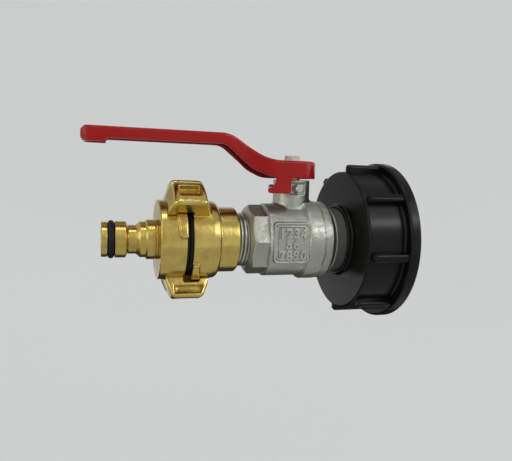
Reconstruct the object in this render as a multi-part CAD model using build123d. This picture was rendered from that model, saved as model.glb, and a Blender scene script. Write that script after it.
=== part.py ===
from build123d import *
import math
import os

# A tank outlet adapter: a cap nut and insert for a 60 mm tank thread, a lever ball valve,
# and a claw coupling whose loose half carries a quick-connect plug.
# The row's frame: X runs along the water way and points at the tank, Z is up along the stem,
# and the origin is the centre of the cap nut's open mouth. All sizes are in millimetres.

# Cap nut
NUT_THREAD_R = 30.3
NUT_WALL = 3.1
NUT_BODY_R = NUT_THREAD_R + NUT_WALL
NUT_RELIEF_STEP = 1.5
NUT_RELIEF_R = NUT_THREAD_R - NUT_RELIEF_STEP
NUT_DEPTH = 23.4
NUT_FRONT_WALL = 4.5
NUT_FLANGE_H = 4.6
NUT_FLANGE_R = NUT_BODY_R + NUT_FLANGE_H
NUT_FLANGE_W = 5.2
NUT_FLANGE_EDGE = 1.0
NUT_EDGE_R = 1.8
NUT_RIM_W = 1.5
NUT_RIM_H = 2.2
NUT_RIM_EDGE = 0.4
NUT_RIM_ROOT = 0.5
RIB_COUNT = 8
RIB_FIRST_DEG = 82.0
RIB_H = 3.6
RIB_OUTER_R = NUT_BODY_R + RIB_H
RIB_ROOT = 1.5
RIB_W = 4.2
RIB_END_SETBACK = 1.3
RIB_ROUND = 1.4

# Pipe thread of the valve and its two sockets
THREAD_R = 13.22
THREAD_FIT = 0.04
SOCKET_R = THREAD_R + THREAD_FIT
THREAD_CHAMFER = 0.8
WATER_R = 8.5
WASHER_W = 2.0
WASHER_INSET = 0.3
WASHER_BORE_STEP = 0.8

# Insert behind the nut, with the valve's socket
NECK_WALL = 2.04
NECK_R = SOCKET_R + NECK_WALL
NECK_SHOW = 6.6
NECK_CLEARANCE = 0.35
NECK_EDGE = 0.5
INSERT_FLANGE_PLAY = 1.2
INSERT_FLANGE_R = NUT_RELIEF_R - INSERT_FLANGE_PLAY
INSERT_FLANGE_W = 2.8
INSERT_AXIAL_PLAY = 0.15
INSERT_MOUTH_FLARE = 1.5
GASKET_W = 2.7
GASKET_RIM_W = 9.1
GASKET_BORE_R = INSERT_FLANGE_R - GASKET_RIM_W

# Ball valve
BALL_R = 14.2
CAVITY_PLAY = 0.7
CAVITY_R = BALL_R + CAVITY_PLAY
BODY_WALL = 2.2
CHAMBER_R = CAVITY_R + BODY_WALL
CHAMBER_STEP_H = 1.6
CHAMBER_END_R = CHAMBER_R + CHAMBER_STEP_H
CHAMBER_EDGE = 0.8
STEM_TO_STEP = 2.5
STEM_TO_BODY_END = 17.25
STEM_TO_OCTAGON = 14.85
OCTAGON_W = 8.5
OCTAGON_OVER = 3.18
OCTAGON_R = THREAD_R + OCTAGON_OVER
OCTAGON_CHAMFER_H = 3.1
OCTAGON_CHAMFER_L = 2.2
THREAD_ROOT_DEPTH = 0.8
THREAD_RUNOUT_L = 1.2
THREAD_SHOW = 4.6
THREAD_ENGAGED = 8.9
BODY_END_ROUND = 2.6
END_ROUND_STEP_DEG = 15.0
END_ROUND_STEPS = 6
CAP_FLANGE_H = 2.68
CAP_FLANGE_R = THREAD_R + CAP_FLANGE_H
CAP_FLANGE_W = 1.2
CAP_FLANGE_EDGE = 0.3
TANK_SPIGOT_L = 10.0
SEAT_STEP = 3.9
SEAT_R = WATER_R + SEAT_STEP
SEAT_W = 3.6
SEAT_HELD = 2.7
SEAT_BEHIND = 1.6
SEAT_FAR = BALL_R - SEAT_BEHIND
SEAT_FIT = 0.06

# Raised panel on the front of the chamber, with its frame lines
FRAME_SETBACK = 1.3
FRAME_L = 16.8
FRAME_H = 18.2
FRAME_PROUD = 0.6
FRAME_FACE_Y = CHAMBER_R + FRAME_PROUD
FRAME_SUNK = 3.4
FRAME_FLOOR_Y = CHAMBER_R - FRAME_SUNK
FRAME_LINE_W = 0.85
FRAME_LINE_H = 0.5
FRAME_GAP_W = 0.6
FRAME_CORNER_R = 1.8

# Stem boss and what it holds
STEM_R = 4.0
STEM_FIT = 0.05
STEM_EDGE = 0.3
GLAND_THICK = 2.1
GLAND_R = STEM_R + GLAND_THICK
BOSS_WALL = 2.53
BOSS_R = GLAND_R + BOSS_WALL
BOSS_TOP_Z = 28.4
BOSS_FILLET = 1.6
STEM_COLLAR_W = 1.8
STEM_COLLAR_R = STEM_R + STEM_COLLAR_W
STEM_COLLAR_H = 2.2
STEM_COLLAR_GAP = 1.1
STEM_COLLAR_Z = BALL_R + STEM_COLLAR_GAP
THRUST_W = 0.9
PACKING_H = 3.2
GLAND_H = 3.9
GLAND_BELOW = 0.7
GLAND_Z = BOSS_TOP_Z - GLAND_BELOW - GLAND_H
PACKING_Z = GLAND_Z - PACKING_H
GLAND_SLOT_W = 1.6
GLAND_SLOT_D = 1.2
GLAND_EDGE = 0.4
TONGUE_W = 4.0
TONGUE_L = 9.4
TONGUE_DEPTH = 2.6
TONGUE_Z = BALL_R - TONGUE_DEPTH
STEM_FLATS = 5.4
STEM_BELOW_TOP = 0.2

# Stop pins in the boss, and the pockets that they stand in
PIN_R = 1.9
PIN_REACH = 12.0
PIN_BELOW_TOP = 4.1
PIN_Z = BOSS_TOP_Z - PIN_BELOW_TOP
PIN_EDGE = 0.4
PIN_SEAT_WALL = 0.4
PIN_SEAT_R = GLAND_R + PIN_SEAT_WALL
POCKET_W = 7.6
POCKET_H = 5.5
POCKET_CORNER_R = 0.8
POCKET_DEPTH = 1.2
POCKET_FLOOR_R = BOSS_R - POCKET_DEPTH
REAR_PIN_DEG = 139.0

# Lever
LEVER_REACH = 96.3
LEVER_SHEET = 1.9
LEVER_HUB_R = 11.1
HUB_CLEARANCE = 0.7
LEVER_HUB_BOTTOM_Z = BOSS_TOP_Z + HUB_CLEARANCE
LEVER_HUB_H = 8.1
LEVER_HUB_TOP_Z = LEVER_HUB_BOTTOM_Z + LEVER_HUB_H
LEVER_OFFSET = 11.3
LEVER_GRIP_TOP_Z = LEVER_HUB_TOP_Z + LEVER_OFFSET
LEVER_GRIP_H = 5.0
LEVER_GRIP_BOTTOM_Z = LEVER_GRIP_TOP_Z - LEVER_GRIP_H
LEVER_GRIP_HALF_W = 7.6
LEVER_NECK_L = 13.0
LEVER_WAIST = 24.0
LEVER_WAIST_HALF_W = 6.4
LEVER_GRIP_START = 35.0
LEVER_PLAN_R = 8.0
LEVER_TIP_CORNER = 4.2
LEVER_BEND_GAP = 3.25
LEVER_LOW_BEND = LEVER_HUB_R + LEVER_BEND_GAP
LEVER_BEND_RUN = 17.45
LEVER_HIGH_BEND = LEVER_LOW_BEND + LEVER_BEND_RUN
LEVER_HIGH_BEND_R = 15.0
LEVER_LOW_BEND_R = 20.0
SKIRT_HIGH_RUN = 1.95
SKIRT_HIGH = LEVER_HIGH_BEND + SKIRT_HIGH_RUN
SKIRT_MIDDLE_RUN = 6.5
SKIRT_MIDDLE = LEVER_LOW_BEND + SKIRT_MIDDLE_RUN
SKIRT_MIDDLE_RISE = 3.5
SKIRT_LOW_RUN = 0.9
SKIRT_LOW = LEVER_HUB_R + SKIRT_LOW_RUN
SKIRT_HIGH_R = 8.0
SKIRT_MIDDLE_R = 16.0
SKIRT_LOW_R = 16.0
LEVER_EDGE_ROUND = 1.0
PAD_L = 10.8
PAD_DROP = 1.5
PAD_ROOT = 0.5

# Lever's stop tab, which meets a stop pin at each end of the lever's travel
TAB_EDGE = 3.9
TAB_NECK = 11.05
TAB_TIP = 14.85
TAB_DROP = 7.1
TAB_BOTTOM_Z = LEVER_HUB_BOTTOM_Z - TAB_DROP
TAB_ROOT = 1.0
TAB_NECK_DROP = 1.2
TAB_FOOT_H = 2.7
TAB_FLARE = 0.8
TAB_ROUND = 1.2

# Lever screw
SCREW_R = 2.0
SCREW_FIT = 0.05
SCREW_L = 9.5
SCREW_FLANGE_R = 5.0
SCREW_FLANGE_H = 0.7
SCREW_FLANGE_RIM = 0.4
SCREW_FLANGE_RISE = 0.2
SCREW_HEX_AF = 7.0
SCREW_HEX_H = 1.9
SCREW_HEX_CHAMFER = 0.5
SCREW_DISH_R = 2.4
SCREW_DISH_D = 0.5
SCREW_TURN_DEG = 9.5
SCREW_TIP_ROOM = 1.0

# Claw coupling
HALF_W = 11.2
THREADED_HALF_W = 12.3
HALF_R = 17.9
HALF_EDGE = 0.4
COLLAR_WALL = 1.78
COLLAR_R = THREAD_R + COLLAR_WALL
COLLAR_L = 9.3
COLLAR_EDGE = 0.8
COLLAR_GROOVE = 0.3
DISC_ROUND_L = 3.0
DISC_ROUND_H = 1.1
SEAL_GAP = 2.8
SEAL_RIM = 1.5
SEAL_R = HALF_R - SEAL_RIM
SEAL_BAND_W = 6.4
SEAL_BORE_R = SEAL_R - SEAL_BAND_W
SEAL_DEPTH = 4.4
SEAL_SPLIT = 0.1
SEAL_EDGE = 0.4
SEAL_LIP_W = 1.6
SEAL_LIP_D = 2.2
CLAW_H = 9.0
CLAW_OUTER_R = HALF_R + CLAW_H
CLAW_GAP_DEG = 4.0
CLAW_SPAN_DEG = 36.0
CLAW_START_DEG = 80.0
HOOK_UNDER = 0.4
CLAW_HOOK_R = HALF_R + HOOK_UNDER
LEDGE_H = 1.6
LEDGE_R = HALF_R + LEDGE_H
HOOK_FIT = 0.5
CLAW_INNER_R = LEDGE_R + HOOK_FIT
CLAW_BACK = 8.4
CLAW_SHOULDER = 6.6
CLAW_SHOULDER_DROP = 4.5
CLAW_TOP_BACK = 5.0
CLAW_TOP_FRONT = 8.3
CLAW_REACH = 11.2
CLAW_TIP_DRAFT = 0.3
CLAW_TIP_H = 1.0
CLAW_ROUND = 1.3
CLAW_FRONT_ROUND = 2.8
CLAW_POCKET_L = 9.8
CLAW_POCKET_DEG = 17.0
CLAW_POCKET_D = 2.4
CLAW_POCKET_R = CLAW_OUTER_R - CLAW_POCKET_D
LEDGE_SPAN_DEG = 73.0
LEDGE_THIN = 2.6
LEDGE_RISE = 3.5
LEDGE_SUNK = 0.4
LEDGE_ROOT_DEG = 4.0
LEDGE_PLAY = 0.15
MATE_TURN_DEG = CLAW_START_DEG - 90.0 - CLAW_GAP_DEG / 2

# Quick-connect plug
PLUG_L = 24.0
PLUG_TAIL_L = 6.2
PLUG_TAIL_R = 8.0
PLUG_TAIL_CHAMFER = 0.6
PLUG_BORE_R = 4.3
PLUG_BORE_EDGE = 0.4
PLUG_BORE_FLARE = 1.8
PLUG_NOSE_R = 7.7
PLUG_NOSE_L = 2.6
PLUG_NOSE_CHAMFER = 0.5
RING_SECTION_R = 1.45
RING_PROUD = 0.7
RING_OUTER_R = PLUG_NOSE_R + RING_PROUD
RING_GROOVE_FIT = 0.12
PLUG_LAND_R = 8.05
PLUG_LAND_EDGE = 0.3
PLUG_LAND_BEVEL = 0.8
PLUG_LAND_END = 10.7
PLUG_GROOVE_R = 6.4
PLUG_GROOVE_START = 11.4
PLUG_GROOVE_END = 14.8
PLUG_SECOND_R = 8.0
PLUG_SECOND_START = 16.5
PLUG_SECOND_END = 18.8
PLUG_THIRD_R = 8.9
PLUG_THIRD_START = 19.5
PLUG_THIRD_END = 22.8
PLUG_FINE_GROOVE = 0.35
PLUG_FINE_DEPTH = 0.5

# Places along X, from the cap nut's mouth towards the hose
NUT_FACE_X = -NUT_DEPTH
INSERT_FRONT_X = NUT_FACE_X - NECK_SHOW
INSERT_SHOULDER_X = NUT_FACE_X + NUT_FRONT_WALL + INSERT_AXIAL_PLAY
INSERT_REAR_X = INSERT_SHOULDER_X + INSERT_FLANGE_W
GASKET_REAR_X = INSERT_REAR_X + GASKET_W
TANK_SPIGOT_END_X = INSERT_FRONT_X + TANK_SPIGOT_L
BODY_END_X = INSERT_FRONT_X - CAP_FLANGE_W
STEM_X = BODY_END_X - STEM_TO_BODY_END
OCTAGON_TANK_X = STEM_X - STEM_TO_OCTAGON
OCTAGON_HOSE_X = OCTAGON_TANK_X - OCTAGON_W
COLLAR_TANK_X = OCTAGON_HOSE_X - THREAD_SHOW
SPIGOT_END_X = COLLAR_TANK_X - THREAD_ENGAGED
SOCKET_END_X = SPIGOT_END_X - WASHER_W
DISC_TANK_X = COLLAR_TANK_X - COLLAR_L
FACE_TANK_X = DISC_TANK_X - THREADED_HALF_W
MID_X = FACE_TANK_X - SEAL_GAP / 2
FACE_HOSE_X = FACE_TANK_X - SEAL_GAP
DISC_HOSE_X = FACE_HOSE_X - HALF_W


def ring(inner_r, outer_r, x_low, x_high):
    """A plain ring about X."""
    return turned([(x_low, inner_r), (x_low, outer_r), (x_high, outer_r), (x_high, inner_r)])


def turned(points):
    """A body turned about X from its outline, given as (x, radius) points."""
    face = make_face(Polyline(*[(x, r) for x, r in points], close=True))
    return revolve(face, axis=Axis.X)


def upright(points):
    """A body turned about the stem's axis from its outline, given as (radius, z) points."""
    outline = Polyline(*[(r, z) for r, z in points], close=True)
    face = Plane(origin=(STEM_X, 0, 0), x_dir=(1, 0, 0), z_dir=(0, -1, 0)) * make_face(outline)
    return revolve(face, axis=Axis((STEM_X, 0, 0), (0, 0, 1)))


def outward(angle_deg):
    """The unit vector at an angle about X, from the front (-Y) towards the top (+Z)."""
    angle = math.radians(angle_deg)
    return Vector(0, -math.cos(angle), math.sin(angle))


def around(angle_deg):
    """The unit vector along the rim at that angle, in the sense in which the angle grows."""
    angle = math.radians(angle_deg)
    return Vector(0, math.sin(angle), math.cos(angle))


def sector(points, start_deg, span_deg):
    """A stretch of a ring about X, from its (x, radius) outline and its angles."""
    start = outward(start_deg)
    plane = Plane(origin=(0, 0, 0), x_dir=(1, 0, 0), z_dir=Vector(1, 0, 0).cross(start))
    face = plane * make_face(Polyline(*points, close=True))
    return revolve(face, axis=Axis((0, 0, 0), (-1, 0, 0)), revolution_arc=span_deg)


def ramp_plane(face_x, start_deg, offset):
    """The sloping back of a ledge that grows from its thin end at start_deg."""
    middle = start_deg + LEDGE_SPAN_DEG / 2
    half_width = LEDGE_R * math.sin(math.radians(LEDGE_SPAN_DEG / 2))
    slope = LEDGE_RISE / 2 / half_width
    thickness = LEDGE_THIN + LEDGE_RISE / 2 + offset
    normal = Vector(-1, 0, 0) - around(middle) * slope
    return Plane(origin=Vector(face_x - thickness, 0, 0), z_dir=normal)


def half_turn(plane):
    """The same plane on the mating half: a half turn about the coupling's cross axis."""
    axis = outward(MATE_TURN_DEG)
    centre = Vector(MID_X, 0, 0)
    arm = plane.origin - centre
    origin = centre + axis * (2 * axis.dot(arm)) - arm
    normal = axis * (2 * axis.dot(plane.z_dir)) - plane.z_dir
    return Plane(origin=origin, z_dir=normal)


def ledge(start_deg):
    """One ramped ledge of the hose-side half."""
    depth = LEDGE_THIN + LEDGE_RISE + 2.0
    outline = [
        (FACE_HOSE_X, SEAL_R + LEDGE_SUNK),
        (FACE_HOSE_X, LEDGE_R),
        (FACE_HOSE_X - depth, LEDGE_R),
        (FACE_HOSE_X - depth, SEAL_R + LEDGE_SUNK),
    ]
    block = sector(outline, start_deg, LEDGE_SPAN_DEG + LEDGE_ROOT_DEG)
    return split(block, bisect_by=ramp_plane(FACE_HOSE_X, start_deg, 0.0), keep=Keep.BOTTOM)


def claw(start_deg):
    """One claw of the hose-side half, hooked behind the mating half's ledge."""
    face = FACE_HOSE_X
    outline = [
        (face - CLAW_BACK, HALF_R - 1.0),
        (face - CLAW_SHOULDER, CLAW_OUTER_R - CLAW_SHOULDER_DROP),
        (face - CLAW_TOP_BACK, CLAW_OUTER_R),
        (face + CLAW_TOP_FRONT, CLAW_OUTER_R),
        (face + CLAW_REACH - CLAW_TIP_DRAFT, CLAW_INNER_R + CLAW_TIP_H),
        (face + CLAW_REACH, CLAW_HOOK_R),
        (face, CLAW_HOOK_R),
        (face, HALF_R - 1.0),
    ]
    block = sector(outline, start_deg, CLAW_SPAN_DEG)
    front_x = face + CLAW_TOP_FRONT
    front = block.edges().filter_by(lambda e: on_claw_front(e, front_x))
    block = fillet(front, CLAW_FRONT_ROUND)
    rims = block.edges().filter_by(on_claw_rim)
    block = fillet(rims, CLAW_ROUND)
    under = [
        (face, CLAW_HOOK_R - 1.0),
        (face, CLAW_INNER_R),
        (face + CLAW_REACH + 1.0, CLAW_INNER_R),
        (face + CLAW_REACH + 1.0, CLAW_HOOK_R - 1.0),
    ]
    mate_start = 2 * MATE_TURN_DEG - (start_deg - CLAW_GAP_DEG + LEDGE_SPAN_DEG)
    back = half_turn(ramp_plane(FACE_HOSE_X, mate_start, LEDGE_PLAY))
    room = sector(under, start_deg - 1.0, CLAW_SPAN_DEG + 2.0)
    block = block - split(room, bisect_by=back, keep=Keep.BOTTOM)
    middle = start_deg + CLAW_SPAN_DEG / 2
    centre_x = face + (CLAW_TOP_FRONT - CLAW_TOP_BACK) / 2
    hollow = [
        (centre_x - CLAW_POCKET_L / 2, CLAW_POCKET_R),
        (centre_x - CLAW_POCKET_L / 2, CLAW_OUTER_R + 1.0),
        (centre_x + CLAW_POCKET_L / 2, CLAW_OUTER_R + 1.0),
        (centre_x + CLAW_POCKET_L / 2, CLAW_POCKET_R),
    ]
    pocket = sector(hollow, middle - CLAW_POCKET_DEG / 2, CLAW_POCKET_DEG)
    corners = pocket.edges().filter_by(lambda e: abs(e.center().X - centre_x) > CLAW_POCKET_L / 2 - 0.1)
    upright_corners = corners.filter_by(lambda e: e.geom_type == GeomType.LINE)
    return block - fillet(upright_corners, CLAW_ROUND)


def radius_of(point):
    """The distance of a point from the X axis."""
    return math.hypot(point.Y, point.Z)


def on_claw_front(edge, front_x):
    """Whether an edge is the claw's outer corner towards the mating half."""
    middle = edge @ 0.5
    return radius_of(middle) > CLAW_OUTER_R - 0.1 and abs(middle.X - front_x) < 0.1


def on_claw_rim(edge):
    """Whether an edge runs along one of the claw's two side faces or its outer back corner."""
    middle = edge @ 0.5
    return radius_of(middle) > CLAW_INNER_R + CLAW_TIP_H + CLAW_TIP_DRAFT


def ears():
    """The two claws and two ledges of the hose-side half, in place."""
    pieces = []
    for turn in (0.0, 180.0):
        pieces.append(claw(CLAW_START_DEG + turn))
        pieces.append(ledge(CLAW_START_DEG - LEDGE_SPAN_DEG + turn))
    return pieces


def mated(shape):
    """A shape of the hose-side half, brought to the tank-side half by the half turn."""
    return shape.rotate(Axis((MID_X, 0, 0), outward(MATE_TURN_DEG)), 180.0)


def make_claw_half_plug():
    """The hose-side coupling half, with the plug's threaded socket."""
    disc = turned([
        (FACE_HOSE_X, SEAL_R),
        (FACE_HOSE_X, HALF_R),
        (DISC_HOSE_X + HALF_EDGE, HALF_R),
        (DISC_HOSE_X, HALF_R - HALF_EDGE),
        (DISC_HOSE_X, PLUG_TAIL_R + THREAD_FIT),
        (FACE_HOSE_X - SEAL_DEPTH, PLUG_TAIL_R + THREAD_FIT),
        (FACE_HOSE_X - SEAL_DEPTH, SEAL_R),
    ])
    return disc + ears()


def make_claw_half_threaded():
    """The tank-side coupling half, with the collar that screws on to the valve."""
    disc = turned([
        (FACE_TANK_X, SEAL_R),
        (FACE_TANK_X, HALF_R),
        (DISC_TANK_X - DISC_ROUND_L, HALF_R),
        (DISC_TANK_X - DISC_ROUND_L / 3, HALF_R - DISC_ROUND_H / 3),
        (DISC_TANK_X, HALF_R - DISC_ROUND_H),
        (DISC_TANK_X, COLLAR_R - COLLAR_GROOVE),
        (DISC_TANK_X + COLLAR_GROOVE, COLLAR_R - COLLAR_GROOVE),
        (DISC_TANK_X + 2 * COLLAR_GROOVE, COLLAR_R),
        (COLLAR_TANK_X - COLLAR_EDGE, COLLAR_R),
        (COLLAR_TANK_X, COLLAR_R - COLLAR_EDGE),
        (COLLAR_TANK_X, SOCKET_R),
        (SOCKET_END_X, SOCKET_R),
        (SOCKET_END_X, WATER_R),
        (FACE_TANK_X + SEAL_DEPTH, WATER_R),
        (FACE_TANK_X + SEAL_DEPTH, SEAL_R),
    ])
    return disc + [mated(piece) for piece in ears()]


def make_claw_seal_plug():
    """The hose-side rubber seal, standing proud of its half up to the middle of the gap."""
    lip = FACE_HOSE_X + SEAL_GAP / 2 - SEAL_SPLIT / 2
    return turned([
        (FACE_HOSE_X - SEAL_DEPTH, SEAL_BORE_R),
        (FACE_HOSE_X - SEAL_DEPTH, SEAL_R),
        (lip - SEAL_EDGE, SEAL_R),
        (lip, SEAL_R - SEAL_EDGE),
        (lip, SEAL_BORE_R + SEAL_LIP_W),
        (lip - SEAL_LIP_D, SEAL_BORE_R),
    ])


def make_claw_seal_threaded():
    """The tank-side rubber seal."""
    return mated(make_claw_seal_plug())


def make_collar_gasket():
    """The flat ring that the valve's spigot presses at the bottom of the collar."""
    return ring(WATER_R + WASHER_BORE_STEP, THREAD_R - WASHER_INSET, SOCKET_END_X, SPIGOT_END_X)


def plug_x(distance):
    """A place on the plug, by its distance from the plug's tip."""
    return DISC_HOSE_X - PLUG_L + distance


def make_plug_nipple():
    """The turned quick-connect plug, screwed into the hose-side half."""
    groove_floor = RING_OUTER_R - 2 * RING_SECTION_R
    groove_end = PLUG_NOSE_L + 2 * (RING_SECTION_R + RING_GROOVE_FIT)
    fine = PLUG_THIRD_R - PLUG_FINE_DEPTH
    return turned([
        (plug_x(0), PLUG_BORE_R + PLUG_BORE_EDGE),
        (plug_x(0), PLUG_NOSE_R - PLUG_NOSE_CHAMFER),
        (plug_x(PLUG_NOSE_CHAMFER), PLUG_NOSE_R),
        (plug_x(PLUG_NOSE_L), PLUG_NOSE_R),
        (plug_x(PLUG_NOSE_L), groove_floor),
        (plug_x(groove_end), groove_floor),
        (plug_x(groove_end), PLUG_LAND_R - PLUG_LAND_EDGE),
        (plug_x(groove_end + PLUG_LAND_EDGE), PLUG_LAND_R),
        (plug_x(PLUG_LAND_END - PLUG_LAND_BEVEL), PLUG_LAND_R),
        (plug_x(PLUG_LAND_END), PLUG_LAND_R - PLUG_LAND_EDGE),
        (plug_x(PLUG_GROOVE_START), PLUG_GROOVE_R),
        (plug_x(PLUG_GROOVE_END), PLUG_GROOVE_R),
        (plug_x(PLUG_SECOND_START), PLUG_SECOND_R),
        (plug_x(PLUG_SECOND_END), PLUG_SECOND_R),
        (plug_x(PLUG_THIRD_START), PLUG_THIRD_R),
        (plug_x(PLUG_THIRD_END), PLUG_THIRD_R),
        (plug_x(PLUG_THIRD_END), fine),
        (plug_x(PLUG_THIRD_END + PLUG_FINE_GROOVE), fine),
        (plug_x(PLUG_THIRD_END + PLUG_FINE_GROOVE), PLUG_THIRD_R),
        (DISC_HOSE_X, PLUG_THIRD_R),
        (DISC_HOSE_X, PLUG_TAIL_R),
        (DISC_HOSE_X + PLUG_TAIL_L - PLUG_TAIL_CHAMFER, PLUG_TAIL_R),
        (DISC_HOSE_X + PLUG_TAIL_L, PLUG_TAIL_R - PLUG_TAIL_CHAMFER),
        (DISC_HOSE_X + PLUG_TAIL_L, PLUG_BORE_R + PLUG_BORE_FLARE),
        (DISC_HOSE_X + PLUG_TAIL_L - PLUG_BORE_FLARE, PLUG_BORE_R),
        (plug_x(PLUG_BORE_EDGE), PLUG_BORE_R),
    ])


def make_plug_o_ring():
    """The O-ring in the plug's groove."""
    centre_x = plug_x(PLUG_NOSE_L + RING_SECTION_R + RING_GROOVE_FIT)
    section = Pos(centre_x, RING_OUTER_R - RING_SECTION_R) * Circle(RING_SECTION_R)
    return revolve(section, axis=Axis.X)


def octagon_bar():
    """The spanner octagon, with a corner at the front and one on top, and its hose-side chamfer."""
    end = Plane(origin=(OCTAGON_HOSE_X, 0, 0), x_dir=(0, 1, 0), z_dir=(1, 0, 0))
    prism = extrude(end * RegularPolygon(OCTAGON_R, 8), OCTAGON_W)
    limit = turned([
        (OCTAGON_HOSE_X, 0),
        (OCTAGON_HOSE_X, OCTAGON_R - OCTAGON_CHAMFER_H),
        (OCTAGON_HOSE_X + OCTAGON_CHAMFER_L, OCTAGON_R + THREAD_FIT),
        (OCTAGON_TANK_X, OCTAGON_R + THREAD_FIT),
        (OCTAGON_TANK_X, 0),
    ])
    return prism & limit


def body_outside():
    """The outside of the valve body: male thread, octagon, chamber and boss."""
    step_x = STEM_X + STEM_TO_STEP
    root_r = THREAD_R - THREAD_ROOT_DEPTH
    outline = [
        (SPIGOT_END_X, 0),
        (SPIGOT_END_X, THREAD_R - THREAD_CHAMFER),
        (SPIGOT_END_X + THREAD_CHAMFER, THREAD_R),
        (OCTAGON_HOSE_X - THREAD_RUNOUT_L, THREAD_R),
        (OCTAGON_HOSE_X - THREAD_RUNOUT_L / 2, root_r),
        (OCTAGON_TANK_X, root_r),
        (OCTAGON_TANK_X, CHAMBER_R - CHAMBER_EDGE),
        (OCTAGON_TANK_X + CHAMBER_EDGE, CHAMBER_R),
        (step_x, CHAMBER_R),
        (step_x + CHAMBER_STEP_H, CHAMBER_END_R),
        *rounded_end(),
        (BODY_END_X, 0),
    ]
    shell = turned(outline) + octagon_bar()
    boss = Pos(STEM_X, 0, 0) * Cylinder(BOSS_R, BOSS_TOP_Z, align=(Align.CENTER, Align.CENTER, Align.MIN))
    joined = shell + boss
    root = joined.edges().filter_by(lambda e: on_boss_root(e))
    return fillet(root, BOSS_FILLET)


def rounded_end():
    """The rounded tank-side end of the chamber, as (x, radius) points from a quarter circle."""
    centre_x = BODY_END_X - BODY_END_ROUND
    centre_r = CHAMBER_END_R - BODY_END_ROUND
    points = []
    for step in range(END_ROUND_STEPS + 1):
        angle = math.radians(90.0 - step * END_ROUND_STEP_DEG)
        points.append((centre_x + BODY_END_ROUND * math.cos(angle), centre_r + BODY_END_ROUND * math.sin(angle)))
    return points


def on_boss_root(edge):
    """Whether an edge runs round the foot of the stem boss."""
    middle = edge @ 0.5
    reach = math.hypot(middle.X - STEM_X, middle.Y)
    return abs(reach - BOSS_R) < 0.05 and 0.0 < middle.Z < BOSS_TOP_Z - BOSS_FILLET


def frame_panel():
    """The flat raised panel on the front of the chamber, with its two raised frame lines."""
    centre_x = OCTAGON_TANK_X + FRAME_SETBACK + FRAME_L / 2
    front = Plane(origin=(centre_x, -FRAME_FLOOR_Y, 0), x_dir=(1, 0, 0), z_dir=(0, -1, 0))
    pad = extrude(front * RectangleRounded(FRAME_L, FRAME_H, FRAME_CORNER_R), FRAME_FACE_Y - FRAME_FLOOR_Y)
    top = Plane(origin=(centre_x, -FRAME_FACE_Y, 0), x_dir=(1, 0, 0), z_dir=(0, -1, 0))
    inner_l = FRAME_L - 2 * FRAME_LINE_W
    inner_h = FRAME_H - 2 * FRAME_LINE_W
    dip = extrude(top * RectangleRounded(inner_l, inner_h, FRAME_CORNER_R * 0.7), -FRAME_LINE_H)
    field_l = inner_l - 2 * FRAME_GAP_W
    field_h = inner_h - 2 * FRAME_GAP_W
    field = extrude(top * RectangleRounded(field_l, field_h, FRAME_CORNER_R * 0.5), -FRAME_LINE_H)
    recess_l = field_l - FRAME_LINE_W
    recess_h = field_h - FRAME_LINE_W
    recess = extrude(top * RectangleRounded(recess_l, recess_h, FRAME_CORNER_R * 0.4), -FRAME_LINE_H)
    return pad - (dip - (field - recess))


def pin_axis(angle_deg):
    """The direction of a stop pin, turned from the front towards the hose side."""
    angle = math.radians(angle_deg)
    return Vector(-math.sin(angle), -math.cos(angle), 0)


def pin_plane(angle_deg, reach):
    """A plane square to a stop pin, at a distance from the stem's axis."""
    direction = pin_axis(angle_deg)
    origin = Vector(STEM_X, 0, PIN_Z) + direction * reach
    return Plane(origin=origin, x_dir=Vector(0, 0, 1).cross(direction), z_dir=direction)


def make_stop_pin(angle_deg):
    """A round stop pin, seated in the boss."""
    shank = extrude(pin_plane(angle_deg, PIN_SEAT_R) * Circle(PIN_R), PIN_REACH - PIN_SEAT_R)
    tip = shank.edges().group_by(lambda e: (e.center() - Vector(STEM_X, 0, PIN_Z)).length)[-1]
    return chamfer(tip, PIN_EDGE)


def pin_seat(angle_deg):
    """The pocket in the boss and the hole that holds the pin."""
    window = RectangleRounded(POCKET_W, POCKET_H, POCKET_CORNER_R)
    pocket = extrude(pin_plane(angle_deg, POCKET_FLOOR_R) * window, BOSS_R)
    hole = extrude(pin_plane(angle_deg, PIN_SEAT_R) * Circle(PIN_R), BOSS_R)
    return pocket + hole


def make_valve_body():
    """The valve body, bored for the water way, the ball, the seats, the stem and the gland."""
    seat_x = STEM_X - SEAT_FAR
    bores = turned([
        (SPIGOT_END_X - 1.0, 0),
        (SPIGOT_END_X - 1.0, WATER_R),
        (seat_x, WATER_R),
        (seat_x, SEAT_R),
        (seat_x + SEAT_HELD, SEAT_R),
        (seat_x + SEAT_HELD, CAVITY_R),
        (BODY_END_X + 1.0, CAVITY_R),
        (BODY_END_X + 1.0, 0),
    ])
    collar_top = STEM_COLLAR_Z + STEM_COLLAR_H + THRUST_W
    stem_bores = upright([
        (0, 0),
        (STEM_COLLAR_R + STEM_FIT, 0),
        (STEM_COLLAR_R + STEM_FIT, collar_top),
        (STEM_R + STEM_FIT, collar_top),
        (STEM_R + STEM_FIT, PACKING_Z),
        (GLAND_R, PACKING_Z),
        (GLAND_R, BOSS_TOP_Z + 1.0),
        (0, BOSS_TOP_Z + 1.0),
    ])
    body = body_outside() + frame_panel() - bores - stem_bores
    return body - pin_seat(0.0) - pin_seat(REAR_PIN_DEG)


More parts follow.
